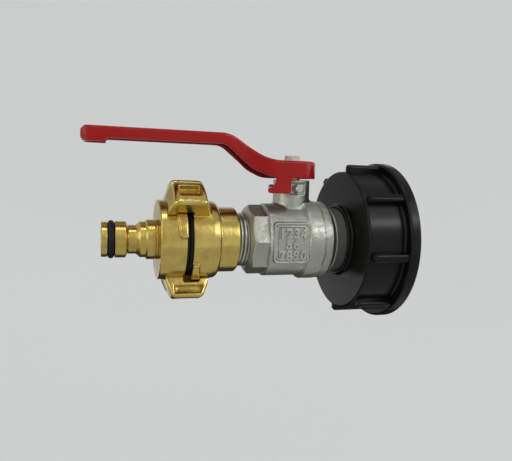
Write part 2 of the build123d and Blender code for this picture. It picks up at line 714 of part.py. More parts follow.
def make_end_cap():
    """The screwed-in end of the valve, with its own male thread towards the tank."""
    seat_x = STEM_X + SEAT_FAR
    return turned([
        (seat_x - SEAT_HELD, SEAT_R),
        (seat_x - SEAT_HELD, CAVITY_R),
        (BODY_END_X, CAVITY_R),
        (BODY_END_X, CAP_FLANGE_R),
        (INSERT_FRONT_X - CAP_FLANGE_EDGE, CAP_FLANGE_R),
        (INSERT_FRONT_X, CAP_FLANGE_R - CAP_FLANGE_EDGE),
        (INSERT_FRONT_X, THREAD_R),
        (TANK_SPIGOT_END_X - THREAD_CHAMFER, THREAD_R),
        (TANK_SPIGOT_END_X, THREAD_R - THREAD_CHAMFER),
        (TANK_SPIGOT_END_X, WATER_R),
        (seat_x, WATER_R),
        (seat_x, SEAT_R),
    ])


def make_ball():
    """The bored ball, with the slot for the stem's tongue across its top."""
    centre = Pos(STEM_X, 0, 0)
    bore = centre * Rot(0, 90, 0) * Cylinder(WATER_R, 3 * BALL_R)
    slot_h = BALL_R - TONGUE_Z + 2 * STEM_FIT
    slot = Pos(STEM_X, 0, TONGUE_Z - 2 * STEM_FIT) * Box(
        TONGUE_W + 2 * STEM_FIT, 3 * BALL_R, 2 * slot_h, align=(Align.CENTER, Align.CENTER, Align.MIN)
    )
    return centre * Sphere(BALL_R) - bore - slot


def make_seat_hose_side():
    """The seat ring on the ball's hose side, hollowed to the ball."""
    far_x = STEM_X - SEAT_FAR
    blank = ring(WATER_R, SEAT_R - SEAT_FIT, far_x, far_x + SEAT_W)
    return blank - Pos(STEM_X, 0, 0) * Sphere(BALL_R + SEAT_FIT)


def make_seat_tank_side():
    """The same seat ring on the ball's tank side."""
    return mirror(make_seat_hose_side(), about=Plane(origin=(STEM_X, 0, 0), z_dir=(1, 0, 0)))


def make_stem():
    """The stem: tongue, collar, shank, flats for the lever, and the tapped hole."""
    top_z = LEVER_HUB_TOP_Z - STEM_BELOW_TOP
    shoulder_z = LEVER_HUB_TOP_Z - LEVER_SHEET
    shaft = upright([
        (0, STEM_COLLAR_Z),
        (STEM_COLLAR_R, STEM_COLLAR_Z),
        (STEM_COLLAR_R, STEM_COLLAR_Z + STEM_COLLAR_H),
        (STEM_R, STEM_COLLAR_Z + STEM_COLLAR_H),
        (STEM_R, top_z - STEM_EDGE),
        (STEM_R - STEM_EDGE, top_z),
        (0, top_z),
    ])
    tongue_h = STEM_COLLAR_Z - TONGUE_Z + STEM_COLLAR_H / 2
    tongue = Pos(STEM_X, 0, TONGUE_Z) * Box(
        TONGUE_W, TONGUE_L, tongue_h, align=(Align.CENTER, Align.CENTER, Align.MIN)
    )
    tongue = tongue & Pos(STEM_X, 0, 0) * Cylinder(STEM_COLLAR_R, 4 * BALL_R)
    flat_block = Pos(STEM_X, 0, shoulder_z) * Box(
        3 * STEM_R, 3 * STEM_R, 3 * LEVER_SHEET, align=(Align.CENTER, Align.CENTER, Align.MIN)
    )
    between = Pos(STEM_X, 0, shoulder_z) * Box(
        3 * STEM_R, STEM_FLATS, 3 * LEVER_SHEET, align=(Align.CENTER, Align.CENTER, Align.MIN)
    )
    tapped = Pos(STEM_X, 0, LEVER_HUB_TOP_Z - SCREW_L - SCREW_TIP_ROOM) * Cylinder(
        SCREW_R + SCREW_FIT, 2 * SCREW_L, align=(Align.CENTER, Align.CENTER, Align.MIN)
    )
    return shaft + tongue - (flat_block - between) - tapped


def make_thrust_washer():
    """The ring between the stem's collar and the body."""
    low = STEM_COLLAR_Z + STEM_COLLAR_H
    return upright([
        (STEM_R + STEM_FIT, low),
        (STEM_COLLAR_R, low),
        (STEM_COLLAR_R, low + THRUST_W),
        (STEM_R + STEM_FIT, low + THRUST_W),
    ])


def make_packing_ring():
    """The packing round the stem."""
    return upright([
        (STEM_R + STEM_FIT, PACKING_Z),
        (GLAND_R, PACKING_Z),
        (GLAND_R, PACKING_Z + PACKING_H),
        (STEM_R + STEM_FIT, PACKING_Z + PACKING_H),
    ])


def make_gland_nut():
    """The slotted ring screw on the packing."""
    low = PACKING_Z + PACKING_H
    blank = upright([
        (STEM_R + STEM_FIT, low),
        (GLAND_R, low),
        (GLAND_R, low + GLAND_H - GLAND_EDGE),
        (GLAND_R - GLAND_EDGE, low + GLAND_H),
        (STEM_R + STEM_FIT, low + GLAND_H),
    ])
    slot = Pos(STEM_X, 0, low + GLAND_H) * Box(3 * GLAND_R, GLAND_SLOT_W, 2 * GLAND_SLOT_D)
    return blank - slot


def side_face(top_points, top_radii, bottom_points, bottom_radii):
    """The lever's side view between a top line and a bottom line, both with rounded bends."""
    top = FilletPolyline(*top_points, radius=top_radii)
    bottom = FilletPolyline(*bottom_points, radius=bottom_radii)
    ends = [Line(top_points[-1], bottom_points[-1]), Line(top_points[0], bottom_points[0])]
    return Plane.XZ * make_face([*top.edges(), *bottom.edges(), *[line.edge() for line in ends]])


def plan_face(inset):
    """The lever's plan view, drawn in by an inset: round hub, waist and rounded grip end."""
    hub_r = LEVER_HUB_R - inset
    half_w = LEVER_GRIP_HALF_W - inset
    end_x = STEM_X - LEVER_REACH + inset
    corner = LEVER_TIP_CORNER
    flank = FilletPolyline(
        (STEM_X, hub_r),
        (STEM_X - LEVER_NECK_L, hub_r),
        (STEM_X - LEVER_WAIST, LEVER_WAIST_HALF_W - inset),
        (STEM_X - LEVER_GRIP_START, half_w),
        (end_x + corner, half_w),
        radius=LEVER_PLAN_R,
    )
    tip_corner = RadiusArc((end_x + corner, half_w), (end_x, half_w - corner), -corner)
    upper = [*flank.edges(), tip_corner.edge()]
    lower = [mirror(edge, Plane.XZ).edge() for edge in upper]
    hub = ThreePointArc((STEM_X, hub_r), (STEM_X + hub_r, 0), (STEM_X, -hub_r))
    end = Line((end_x, half_w - corner), (end_x, corner - half_w))
    return make_face([*upper, *lower, hub.edge(), end.edge()])


def lever_lines(drop, overrun):
    """The lever's top line, lowered by a sheet thickness where drop is given, and its bottom line."""
    slope = math.atan2(LEVER_OFFSET, LEVER_BEND_RUN)
    shift = drop * math.tan(slope / 2)
    hub_end = STEM_X + LEVER_HUB_R
    tip = STEM_X - LEVER_REACH
    top = [
        (tip - overrun, LEVER_GRIP_TOP_Z - drop),
        (STEM_X - LEVER_HIGH_BEND - shift, LEVER_GRIP_TOP_Z - drop),
        (STEM_X - LEVER_LOW_BEND - shift, LEVER_HUB_TOP_Z - drop),
        (hub_end + overrun, LEVER_HUB_TOP_Z - drop),
    ]
    bottom = [
        (tip - overrun, LEVER_GRIP_BOTTOM_Z - overrun),
        (STEM_X - SKIRT_HIGH, LEVER_GRIP_BOTTOM_Z - overrun),
        (STEM_X - SKIRT_MIDDLE, LEVER_HUB_BOTTOM_Z + SKIRT_MIDDLE_RISE - overrun),
        (STEM_X - SKIRT_LOW, LEVER_HUB_BOTTOM_Z - overrun),
        (hub_end + overrun, LEVER_HUB_BOTTOM_Z - overrun),
    ]
    return top, bottom


def make_lever():
    """The pressed lever: a channel with a round hub, a bend, a deeper grip end and a stop tab."""
    reach = 4 * LEVER_HUB_R
    skirt_radii = [SKIRT_HIGH_R, SKIRT_MIDDLE_R, SKIRT_LOW_R]
    top, bottom = lever_lines(0.0, 0.0)
    outer_side = side_face(top, [LEVER_HIGH_BEND_R, LEVER_LOW_BEND_R], bottom, skirt_radii)
    blank = extrude(outer_side, reach, both=True) & extrude(plan_face(0.0), 3 * LEVER_GRIP_TOP_Z)
    top_edges = blank.edges().filter_by(on_top_rim)
    blank = fillet(top_edges, LEVER_EDGE_ROUND)
    inner_radii = [LEVER_HIGH_BEND_R - LEVER_SHEET, LEVER_LOW_BEND_R + LEVER_SHEET]
    inner_top, inner_bottom = lever_lines(LEVER_SHEET, 2 * LEVER_SHEET)
    inner_side = side_face(inner_top, inner_radii, inner_bottom, skirt_radii)
    hollow = extrude(inner_side, reach, both=True) & extrude(plan_face(LEVER_SHEET), 3 * LEVER_GRIP_TOP_Z)
    shell = blank - hollow
    return shell + grip_pad() + stop_tab() - stem_hole()


def on_top_rim(edge):
    """Whether an edge runs round the lever's top sheet."""
    middle = edge @ 0.5
    straight = edge.geom_type == GeomType.LINE
    upright_edge = straight and abs(edge.tangent_at(0.5).Z) > 0.95
    across = straight and abs(middle.Y) < 0.1 and middle.X > STEM_X - LEVER_REACH + 1.0
    return not upright_edge and not across and middle.Z > top_height(middle.X) - 2.0


def top_height(x):
    """The height of the lever's top line at a place along X, near enough to tell top from bottom."""
    start = STEM_X - LEVER_HIGH_BEND
    share = min(1.0, max(0.0, (x - start) / LEVER_BEND_RUN))
    return LEVER_GRIP_TOP_Z - share * LEVER_OFFSET


def grip_pad():
    """The deeper skirt round the lever's grip end."""
    tip = STEM_X - LEVER_REACH
    band = plan_face(0.0) - plan_face(LEVER_SHEET)
    low = LEVER_GRIP_BOTTOM_Z - PAD_DROP
    walls = Pos(0, 0, low) * extrude(band, PAD_DROP + PAD_ROOT)
    return walls & Pos(tip, 0, low) * Box(2 * PAD_L, 6 * LEVER_GRIP_HALF_W, 4 * PAD_DROP)


def stop_tab():
    """The tab that hangs from the hub's near side, with its flared foot."""
    plane = Plane(origin=(STEM_X, -LEVER_HUB_R, 0), x_dir=(1, 0, 0), z_dir=(0, -1, 0))
    root_z = LEVER_HUB_BOTTOM_Z + TAB_ROOT
    neck_z = LEVER_HUB_BOTTOM_Z - TAB_NECK_DROP
    foot_z = TAB_BOTTOM_Z + TAB_FOOT_H
    hollow_x = -(TAB_TIP + TAB_NECK) / 2 + TAB_FLARE
    hollow_z = (foot_z + neck_z) / 2 - TAB_FLARE
    sides = Polyline(
        (-TAB_NECK, neck_z),
        (-TAB_NECK, root_z),
        (-TAB_EDGE, root_z),
        (-TAB_EDGE, TAB_BOTTOM_Z),
        (-TAB_TIP, TAB_BOTTOM_Z),
        (-TAB_TIP, foot_z),
    )
    flare = ThreePointArc((-TAB_TIP, foot_z), (hollow_x, hollow_z), (-TAB_NECK, neck_z))
    outline = make_face([*sides.edges(), flare.edge()])
    feet = outline.vertices().filter_by(lambda v: v.Y < foot_z + LEVER_SHEET / 2)
    return extrude(plane * fillet(feet, TAB_ROUND), -LEVER_SHEET)


def stem_hole():
    """The hole in the hub's top sheet that fits the stem's two flats."""
    round_hole = Pos(STEM_X, 0, LEVER_HUB_TOP_Z) * Cylinder(STEM_R + STEM_FIT, 4 * LEVER_SHEET)
    flats = Pos(STEM_X, 0, LEVER_HUB_TOP_Z) * Box(4 * STEM_R, STEM_FLATS + 2 * STEM_FIT, 4 * LEVER_SHEET)
    return round_hole & flats


def make_lever_screw():
    """The hex flange screw that holds the lever, with its dished head."""
    low = LEVER_HUB_TOP_Z
    shank = Pos(STEM_X, 0, low - SCREW_L) * Cylinder(
        SCREW_R, SCREW_L + SCREW_FLANGE_H, align=(Align.CENTER, Align.CENTER, Align.MIN)
    )
    cone_z = low + SCREW_FLANGE_H + SCREW_FLANGE_RISE
    flange = upright([
        (0, low),
        (SCREW_FLANGE_R, low),
        (SCREW_FLANGE_R, low + SCREW_FLANGE_RIM),
        (SCREW_HEX_AF / 2, cone_z),
        (0, cone_z),
    ])
    corner_r = SCREW_HEX_AF / 2 / math.cos(math.pi / 6)
    top = low + SCREW_FLANGE_H + SCREW_HEX_H
    head = Pos(STEM_X, 0, low) * Rot(0, 0, SCREW_TURN_DEG) * RegularPolygon(corner_r, 6)
    dome = upright([
        (0, low),
        (corner_r + SCREW_FIT, low),
        (corner_r + SCREW_FIT, top - SCREW_HEX_CHAMFER),
        (corner_r - SCREW_HEX_CHAMFER, top),
        (0, top),
    ])
    dish = upright([
        (0, top - SCREW_DISH_D),
        (SCREW_DISH_R - SCREW_DISH_D, top - SCREW_DISH_D),
        (SCREW_DISH_R, top),
        (0, top),
    ])
    return shank + flange + (extrude(head, SCREW_FLANGE_H + SCREW_HEX_H) & dome) - dish


def make_union_nut():
    """The ribbed cap nut, hooked over the insert's flange and open towards the tank."""
    hole_r = NECK_R + NECK_CLEARANCE
    inner_x = NUT_FACE_X + NUT_FRONT_WALL
    rim_x = NUT_FACE_X - NUT_RIM_H
    rim_r = hole_r + NUT_RIM_W
    shell = turned([
        (rim_x + NUT_RIM_EDGE, hole_r),
        (rim_x, hole_r + NUT_RIM_EDGE),
        (rim_x, rim_r - NUT_RIM_EDGE),
        (rim_x + NUT_RIM_EDGE, rim_r),
        (NUT_FACE_X - NUT_RIM_ROOT, rim_r),
        (NUT_FACE_X, rim_r + NUT_RIM_ROOT),
        (NUT_FACE_X, NUT_BODY_R - NUT_EDGE_R),
        (NUT_FACE_X + NUT_EDGE_R * 0.3, NUT_BODY_R - NUT_EDGE_R * 0.3),
        (NUT_FACE_X + NUT_EDGE_R, NUT_BODY_R),
        (-NUT_FLANGE_W, NUT_BODY_R),
        (-NUT_FLANGE_W, NUT_FLANGE_R - NUT_FLANGE_EDGE),
        (-NUT_FLANGE_W + NUT_FLANGE_EDGE, NUT_FLANGE_R),
        (-NUT_FLANGE_EDGE, NUT_FLANGE_R),
        (0, NUT_FLANGE_R - NUT_FLANGE_EDGE),
        (0, NUT_THREAD_R),
        (GASKET_REAR_X, NUT_THREAD_R),
        (GASKET_REAR_X, NUT_RELIEF_R),
        (inner_x, NUT_RELIEF_R),
        (inner_x, hole_r),
    ])
    ribs = [make_rib(RIB_FIRST_DEG + number * 360.0 / RIB_COUNT) for number in range(RIB_COUNT)]
    return shell + ribs


def make_rib(angle_deg):
    """One grip rib, rounded at its outer edges and at the nut's face."""
    length = NUT_DEPTH - NUT_FLANGE_W - RIB_END_SETBACK + RIB_ROOT
    root_r = NUT_BODY_R - RIB_ROOT
    bar = Pos(RIB_ROOT - NUT_FLANGE_W - length / 2, 0, (root_r + RIB_OUTER_R) / 2) * Box(
        length, RIB_W, RIB_OUTER_R - root_r
    )
    top = bar.faces().sort_by(Axis.Z)[-1]
    face_end = bar.faces().sort_by(Axis.X)[0]
    rims = top.edges() + face_end.edges().filter_by(lambda e: e.center().Z > root_r)
    bar = fillet(ShapeList(set(rims)), RIB_ROUND)
    return bar.rotate(Axis.X, 90.0 - angle_deg)


def make_tank_insert():
    """The insert: neck, flange under the nut, threaded socket for the valve."""
    socket_end = TANK_SPIGOT_END_X + WASHER_W
    return turned([
        (INSERT_FRONT_X, SOCKET_R),
        (INSERT_FRONT_X, NECK_R - NECK_EDGE),
        (INSERT_FRONT_X + NECK_EDGE, NECK_R),
        (INSERT_SHOULDER_X, NECK_R),
        (INSERT_SHOULDER_X, INSERT_FLANGE_R),
        (INSERT_REAR_X, INSERT_FLANGE_R),
        (INSERT_REAR_X, WATER_R + WASHER_BORE_STEP + INSERT_MOUTH_FLARE),
        (socket_end, WATER_R + WASHER_BORE_STEP),
        (socket_end, SOCKET_R),
    ])


def make_insert_washer():
    """The flat ring at the bottom of the insert's socket."""
    inner_r = WATER_R + WASHER_BORE_STEP
    outer_r = THREAD_R - WASHER_INSET
    return ring(inner_r, outer_r, TANK_SPIGOT_END_X, TANK_SPIGOT_END_X + WASHER_W)


def make_tank_gasket():
    """The flat ring that seals against the tank's outlet."""
    return ring(GASKET_BORE_R, INSERT_FLANGE_R, INSERT_REAR_X, GASKET_REAR_X)


nodes = {
    "union_nut": make_union_nut(),
    "tank_insert": make_tank_insert(),
    "tank_gasket": make_tank_gasket(),
    "insert_washer": make_insert_washer(),
    "end_cap": make_end_cap(),
    "valve_body": make_valve_body(),
    "ball": make_ball(),
    "seat_hose_side": make_seat_hose_side(),
    "seat_tank_side": make_seat_tank_side(),
    "stem": make_stem(),
    "thrust_washer": make_thrust_washer(),
    "packing_ring": make_packing_ring(),
    "gland_nut": make_gland_nut(),
    "lever": make_lever(),
    "lever_screw": make_lever_screw(),
    "stop_pin_front": make_stop_pin(0.0),
    "stop_pin_rear": make_stop_pin(REAR_PIN_DEG),
    "collar_gasket": make_collar_gasket(),
    "claw_half_threaded": make_claw_half_threaded(),
    "claw_seal_threaded": make_claw_seal_threaded(),
    "claw_half_plug": make_claw_half_plug(),
    "claw_seal_plug": make_claw_seal_plug(),
    "plug_nipple": make_plug_nipple(),
    "plug_o_ring": make_plug_o_ring(),
}

os.makedirs("parts", exist_ok=True)
for name, shape in nodes.items():
    export_step(shape, f"parts/{name}.step")
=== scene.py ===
import logging
import math
from dataclasses import dataclass, field
from enum import Enum
from typing import Any, Callable, Mapping, NamedTuple, Optional, Protocol, Sequence, Union

import bmesh
import bpy
from mathutils import Matrix, Vector


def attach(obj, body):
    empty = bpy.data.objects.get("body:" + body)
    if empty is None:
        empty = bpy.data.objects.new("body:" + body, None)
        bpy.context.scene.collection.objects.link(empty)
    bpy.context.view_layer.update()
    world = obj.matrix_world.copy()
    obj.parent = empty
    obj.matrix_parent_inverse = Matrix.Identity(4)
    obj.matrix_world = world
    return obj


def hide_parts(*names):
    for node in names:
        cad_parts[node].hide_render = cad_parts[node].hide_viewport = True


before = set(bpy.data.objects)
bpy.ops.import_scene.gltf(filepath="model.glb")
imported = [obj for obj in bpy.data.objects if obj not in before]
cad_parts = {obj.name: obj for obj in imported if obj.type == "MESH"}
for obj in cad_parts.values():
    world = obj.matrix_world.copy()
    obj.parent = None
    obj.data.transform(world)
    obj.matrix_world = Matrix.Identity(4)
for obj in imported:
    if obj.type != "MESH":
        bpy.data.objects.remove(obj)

# Looks of the tank tap adapter: cap nut, insert, lever ball valve, claw coupling and plug.
# Sizes in the classes are in millimetres along the water way, as on a workshop drawing, and
# MM turns them into the scene's metres. X points at the tank, Z is up along the stem.

MM = 0.001
ROUND_STEPS = 4
ROUND_SHARE = 0.4
STRAIGHT_TURN = math.radians(6.0)
LATHE_SEGMENTS = 144
RING_STEPS = 24
MERGE_DISTANCE = 1e-6
RAYS_THAT_SEE = ("Camera", "Glossy", "Transmission")
OBJECT_MIDDLE = (-0.07, 0.0, 0.0)
FLAT_BEND = 0.5
EASE = 0.5
ROOT_PLAY = 0.1

Colour = tuple[int, int, int]
Point = tuple[float, float]
Material = bpy.types.Material
Mesh = bpy.types.Mesh
Node = bpy.types.Node
Piece = bpy.types.Object
Values = Mapping[Union[str, int], Any]
Change = Callable[[Mesh], None]
log = logging.getLogger("tap_adapter")


class Body(Enum):
    """The bodies that the pieces ride on."""

    VALVE = "valve"
    LEVER = "lever_set"
    NUT = "cap_nut"
    PLUG = "plug_side"


class Slot(Enum):
    """The record's material slots, named alongside the new pieces."""

    BLACK_PLASTIC = "black_plastic"
    RUBBER = "rubber"
    NICKEL = "nickel_plate"
    RED = "red_coat"
    BRASS = "coupling_brass"


def linear(colour: Colour) -> tuple[float, ...]:
    """Turns a colour as it looks on a screen into the shader's linear values.

    Args:
        colour: Red, green and blue, 0 to 255.

    Returns:
        The same colour as four linear numbers.
    """

    def one(value: int) -> float:
        """One channel, made linear."""
        share = value / 255.0
        return share / 12.92 if share <= 0.04045 else ((share + 0.055) / 1.055) ** 2.4

    return (*(one(value) for value in colour), 1.0)


def operator(operation: str, swapped: bool = False) -> Callable[["Wire", "Value"], "Wire"]:
    """Makes one of a wire's operators.

    Args:
        operation: The Math node's operation.
        swapped: Whether the wire stands on the operator's right.

    Returns:
        The operator's method.
    """

    def apply(wire: "Wire", other: "Value") -> "Wire":
        """Adds the Math node."""
        first, second = (other, wire) if swapped else (wire, other)
        return wire.tree.maths(operation, first, second)

    return apply


class Wire:
    """A shader socket that takes arithmetic, so that shader maths reads as a formula."""

    __add__ = operator("ADD")
    __radd__ = operator("ADD", swapped=True)
    __sub__ = operator("SUBTRACT")
    __rsub__ = operator("SUBTRACT", swapped=True)
    __mul__ = operator("MULTIPLY")
    __rmul__ = operator("MULTIPLY", swapped=True)
    __truediv__ = operator("DIVIDE")
    __rtruediv__ = operator("DIVIDE", swapped=True)
    __pow__ = operator("POWER")

    def __init__(self, tree: "NodeTree", socket: bpy.types.NodeSocket) -> None:
        """Wraps a node's output.

        Args:
            tree: The tree that the node is in.
            socket: The output.
        """
        self.tree = tree
        self.socket = socket

    def clamped(self) -> "Wire":
        """The wire, kept between 0 and 1."""
        return self.tree.maths("MINIMUM", self.tree.maths("MAXIMUM", self, 0.0), 1.0)


Value = Union[Wire, float]


class NodeTree:
    """A node tree under construction, with short ways to add nodes."""

    def __init__(self, tree: bpy.types.NodeTree) -> None:
        """Takes an empty tree."""
        self.tree = tree

    def node(self, kind: str, inputs: Optional[Values] = None, **settings: Any) -> Node:
        """Adds a node.

        Args:
            kind: The node's type.
            inputs: Values or wires for its sockets, by name or number.
            settings: Its settings, which are set first.

        Returns:
            The node.
        """
        made = self.tree.nodes.new(kind)
        for key, value in settings.items():
            setattr(made, key, value)
        for key, value in (inputs or {}).items():
            if isinstance(value, Wire):
                self.tree.links.new(value.socket, made.inputs[key])
            else:
                made.inputs[key].default_value = value
        return made

    def out(self, made: Node, output: Union[str, int] = 0) -> Wire:
        """One of a node's outputs, as a wire."""
        return Wire(self, made.outputs[output])

    def wire(self, kind: str, inputs: Optional[Values] = None, **settings: Any) -> Wire:
        """Adds a node as node() does, and gives its first output."""
        return self.out(self.node(kind, inputs, **settings))

    def maths(self, operation: str, first: Value, second: Value) -> Wire:
        """Adds a Math node and gives its result."""
        return self.wire("ShaderNodeMath", {0: first, 1: second}, operation=operation)


class Canvas(NodeTree):
    """A material under construction."""

    def __init__(self, name: str) -> None:
        """Starts an empty material.

        Args:
            name: The material's name.
        """
        self.material = bpy.data.materials.new(name)
        self.material.use_nodes = True
        super().__init__(self.material.node_tree)
        self.tree.nodes.clear()

    def place(self, scale: Sequence[float] = (1.0, 1.0, 1.0)) -> Wire:
        """The point on the piece in metres, with each axis scaled."""
        spot = self.out(self.node("ShaderNodeTexCoord"), "Object")
        return self.wire("ShaderNodeMapping", {"Vector": spot, "Scale": scale})

    def noise(self, scale: float, detail: float, stretch: Sequence[float] = (1.0, 1.0, 1.0)) -> Wire:
        """Soft noise from 0 to 1.

        Args:
            scale: Grains to the metre.
            detail: How many finer layers are added.
            stretch: The scale along each axis.

        Returns:
            The noise.
        """
        values = {"Vector": self.place(stretch), "Scale": scale, "Detail": detail, "Roughness": 0.55}
        return self.wire("ShaderNodeTexNoise", values, noise_dimensions="3D")

    def specks(self, scale: float, size: float) -> Wire:
        """Sparse round specks: 1 in a speck's middle and 0 outside."""
        distance = self.wire("ShaderNodeTexVoronoi", {"Vector": self.place(), "Scale": scale}, feature="F1")
        return (1.0 - distance / size).clamped()

    def rings(self, per_metre: float) -> Wire:
        """Turning marks: noise that only changes along the water way and away from it.

        Args:
            per_metre: How many rings a metre holds.

        Returns:
            The rings, 0 to 1.
        """
        spot = self.out(self.node("ShaderNodeTexCoord"), "Object")
        split = self.node("ShaderNodeSeparateXYZ", {0: spot})
        x, y, z = (self.out(split, axis) for axis in "XYZ")
        away = (y * y + z * z) ** 0.5
        values = {"W": (x + away) * per_metre, "Scale": 1.0, "Detail": 2.0}
        return self.wire("ShaderNodeTexNoise", values, noise_dimensions="1D")

    def edges(self, low: float, high: float) -> Wire:
        """A mask from how sharply the surface bends, which is 0.5 where it is flat.

        Args:
            low: The bend that gives 0.
            high: The bend that gives 1.

        Returns:
            The mask.
        """
        bend = self.out(self.node("ShaderNodeNewGeometry"), "Pointiness")
        values = {"Value": bend, "From Min": low, "From Max": high}
        return self.wire("ShaderNodeMapRange", values, clamp=True)

    def mix(self, factor: Value, first: Union[Wire, Colour], second: Union[Wire, Colour]) -> Wire:
        """Mixes two colours.

        Args:
            factor: How much of the second.
            first: The first colour or wire.
            second: The second colour or wire.

        Returns:
            The mixed colour.
        """
        ends = [end if isinstance(end, Wire) else linear(end) for end in (first, second)]
        mixed = self.node("ShaderNodeMix", {0: factor, 6: ends[0], 7: ends[1]}, data_type="RGBA")
        return self.out(mixed, 2)

    def bump(self, height: Wire, depth: float, under: Optional[Wire] = None) -> Wire:
        """A bumped normal.

        Args:
            height: The relief, 0 to 1.
            depth: The relief's depth in metres.
            under: A normal to lay it on.

        Returns:
            The normal.
        """
        values = {"Height": height, "Distance": depth, "Strength": 1.0}
        if under is not None:
            values["Normal"] = under
        return self.wire("ShaderNodeBump", values)

    def soft_edges(self, radius: float) -> Wire:
        """A normal that rounds the piece's edges."""
        return self.wire("ShaderNodeBevel", {"Radius": radius}, samples=4)

    def finish(
        self, colour: Wire, roughness: Wire, normal: Wire, metallic: float = 0.0, shine: float = 0.5
    ) -> Material:
        """Ends the material in one surface shader.

        Args:
            colour: Its base colour.
            roughness: Its roughness.
            normal: Its normal.
            metallic: 1 for bare metal.
            shine: How strongly a surface that isn't metal mirrors.

        Returns:
            The material.
        """
        values = {"Base Color": colour, "Roughness": roughness, "Normal": normal}
        values |= {"Metallic": metallic, "Specular IOR Level": shine}
        return self.close(self.wire("ShaderNodeBsdfPrincipled", values))

    def finish_tone(self, under: Wire, colour: Any, share: Wire) -> Material:
        """Ends the material in an even tone over another shader.

        Args:
            under: The other shader.
            colour: The tone's colour.
            share: How much of the tone shows.

        Returns:
            The material.
        """
        tone = self.wire("ShaderNodeEmission", {"Color": colour, "Strength": 1.0})
        return self.close(self.wire("ShaderNodeMixShader", {0: share, 1: under, 2: tone}))

    def close(self, shader: Wire) -> Material:
        """Gives the material its surface shader."""
        self.node("ShaderNodeOutputMaterial", {"Surface": shader})
        return self.material


class Finish(Protocol):
    """Anything that builds a material."""

    def build(self) -> Material:
        """Makes the material."""


@dataclass(frozen=True)
class BrassFinish:
    """Yellow brass: forged and tumbled, or freshly turned with fine rings, with random stains and painted
    shade in its hollows.
    """

    name: str = "forged_brass"
    bright: Colour = (243, 220, 132)
    deep: Colour = (204, 174, 88)
    # The colour of random stains, and of the painted shade where the surface bends inward.
    stain_and_shade: Colour = (96, 66, 28)
    roughness: float = 0.13
    ring_depth: float = 0.0
    dent_depth: float = 0.0001
    cloud_scale: float = 90.0
    grain_scale: float = 2600.0
    stain_scale: float = 260.0
    dent_scale: float = 420.0
    rings_per_metre: float = 5200.0
    # How far the surface bends inward before the painted shade starts, and how dark the painted shade gets.
    painted_shade_bend: float = 0.44
    painted_shade_share: float = 0.55

    def build(self) -> Material:
        """Makes the material.

        Returns:
            The material.
        """
        canvas = Canvas(self.name)
        cloud = canvas.noise(self.cloud_scale, 4.0)
        grain = canvas.noise(self.grain_scale, 2.0)
        # Painted shade: darker where the surface bends inward, as in creases and hollows; the noise below
        # adds real stains.
        painted_shade = (1.0 - canvas.edges(self.painted_shade_bend, FLAT_BEND)) * self.painted_shade_share
        stain = canvas.noise(self.stain_scale, 5.0) ** 4.0
        colour = canvas.mix(cloud, self.bright, self.deep)
        colour = canvas.mix((painted_shade + stain).clamped(), colour, self.stain_and_shade)
        rough = self.roughness + cloud * 0.12 + grain * 0.06
        normal = canvas.bump(canvas.noise(self.dent_scale, 3.0), self.dent_depth)
        if self.ring_depth:
            normal = canvas.bump(canvas.rings(self.rings_per_metre), self.ring_depth, normal)
        return canvas.finish(colour, rough, normal, metallic=1.0)


@dataclass(frozen=True)
class NickelFinish:
    """Forged brass under a satin nickel plate: cast grain, painted shade in the hollows and rubbed edges."""

    name: str = "satin_nickel"
    bright: Colour = (216, 217, 205)
    deep: Colour = (166, 168, 156)
    # The colour of the painted shade in hollows.
    painted_shade_colour: Colour = (72, 70, 60)
    worn: Colour = (224, 226, 216)
    roughness: float = 0.3
    grain_depth: float = 0.00012
    dent_share: float = 3.0
    cloud_scale: float = 70.0
    grain_scale: float = 1100.0
    dent_scale: float = 330.0
    rub_scale: float = 420.0
    painted_shade_bend: float = 0.42
    painted_shade_share: float = 0.8
    rub_bends: Sequence[float] = (0.51, 0.56)

    def build(self) -> Material:
        """Makes the material.

        Returns:
            The material.
        """
        canvas = Canvas(self.name)
        cloud = canvas.noise(self.cloud_scale, 4.0)
        grain = canvas.noise(self.grain_scale, 4.0)
        # Painted shade: darker where the surface bends inward, as in creases and hollows.
        painted_shade = (1.0 - canvas.edges(self.painted_shade_bend, FLAT_BEND)) * self.painted_shade_share
        colour = canvas.mix(cloud, self.bright, self.deep)
        colour = canvas.mix(painted_shade.clamped(), colour, self.painted_shade_colour)
        rubbed = canvas.edges(*self.rub_bends) * canvas.noise(self.rub_scale, 3.0)
        colour = canvas.mix(rubbed.clamped(), colour, self.worn)
        rough = self.roughness + grain * 0.14 + cloud * 0.08
        normal = canvas.bump(grain, self.grain_depth)
        dents = canvas.noise(self.dent_scale, 3.0)
        normal = canvas.bump(dents, self.grain_depth * self.dent_share, normal)
        return canvas.finish(colour, rough, normal, metallic=1.0)


@dataclass(frozen=True)
class CoatFinish:
    """The lever's thick red dip coat: glossy, slightly wavy, with a little dust."""

    name: str = "red_dip_coat"
    bright: Colour = (165, 21, 18)
    deep: Colour = (142, 13, 12)
    dust: Colour = (190, 120, 112)
    roughness: float = 0.13
    shine: float = 0.3
    wave_depth: float = 0.00012
    ripple_share: float = 0.12
    cloud_scale: float = 55.0
    wave_scale: float = 190.0
    ripple_scale: float = 1100.0
    speck_scale: float = 700.0
    speck_size: float = 0.09
    speck_cloud_scale: float = 40.0

    def build(self) -> Material:
        """Makes the material.

        Returns:
            The material.
        """
        canvas = Canvas(self.name)
        cloud = canvas.noise(self.cloud_scale, 3.0)
        specks = canvas.specks(self.speck_scale, self.speck_size)
        dust = specks * canvas.noise(self.speck_cloud_scale, 1.0)
        colour = canvas.mix(cloud, self.bright, self.deep)
        colour = canvas.mix(dust * 0.35, colour, self.dust)
        rough = self.roughness + cloud * 0.1 + dust * 0.3
        normal = canvas.bump(canvas.noise(self.wave_scale, 2.0), self.wave_depth)
        ripple = canvas.noise(self.ripple_scale, 2.0)
        normal = canvas.bump(ripple, self.wave_depth * self.ripple_share, normal)
        return canvas.finish(colour, rough, normal, shine=self.shine)


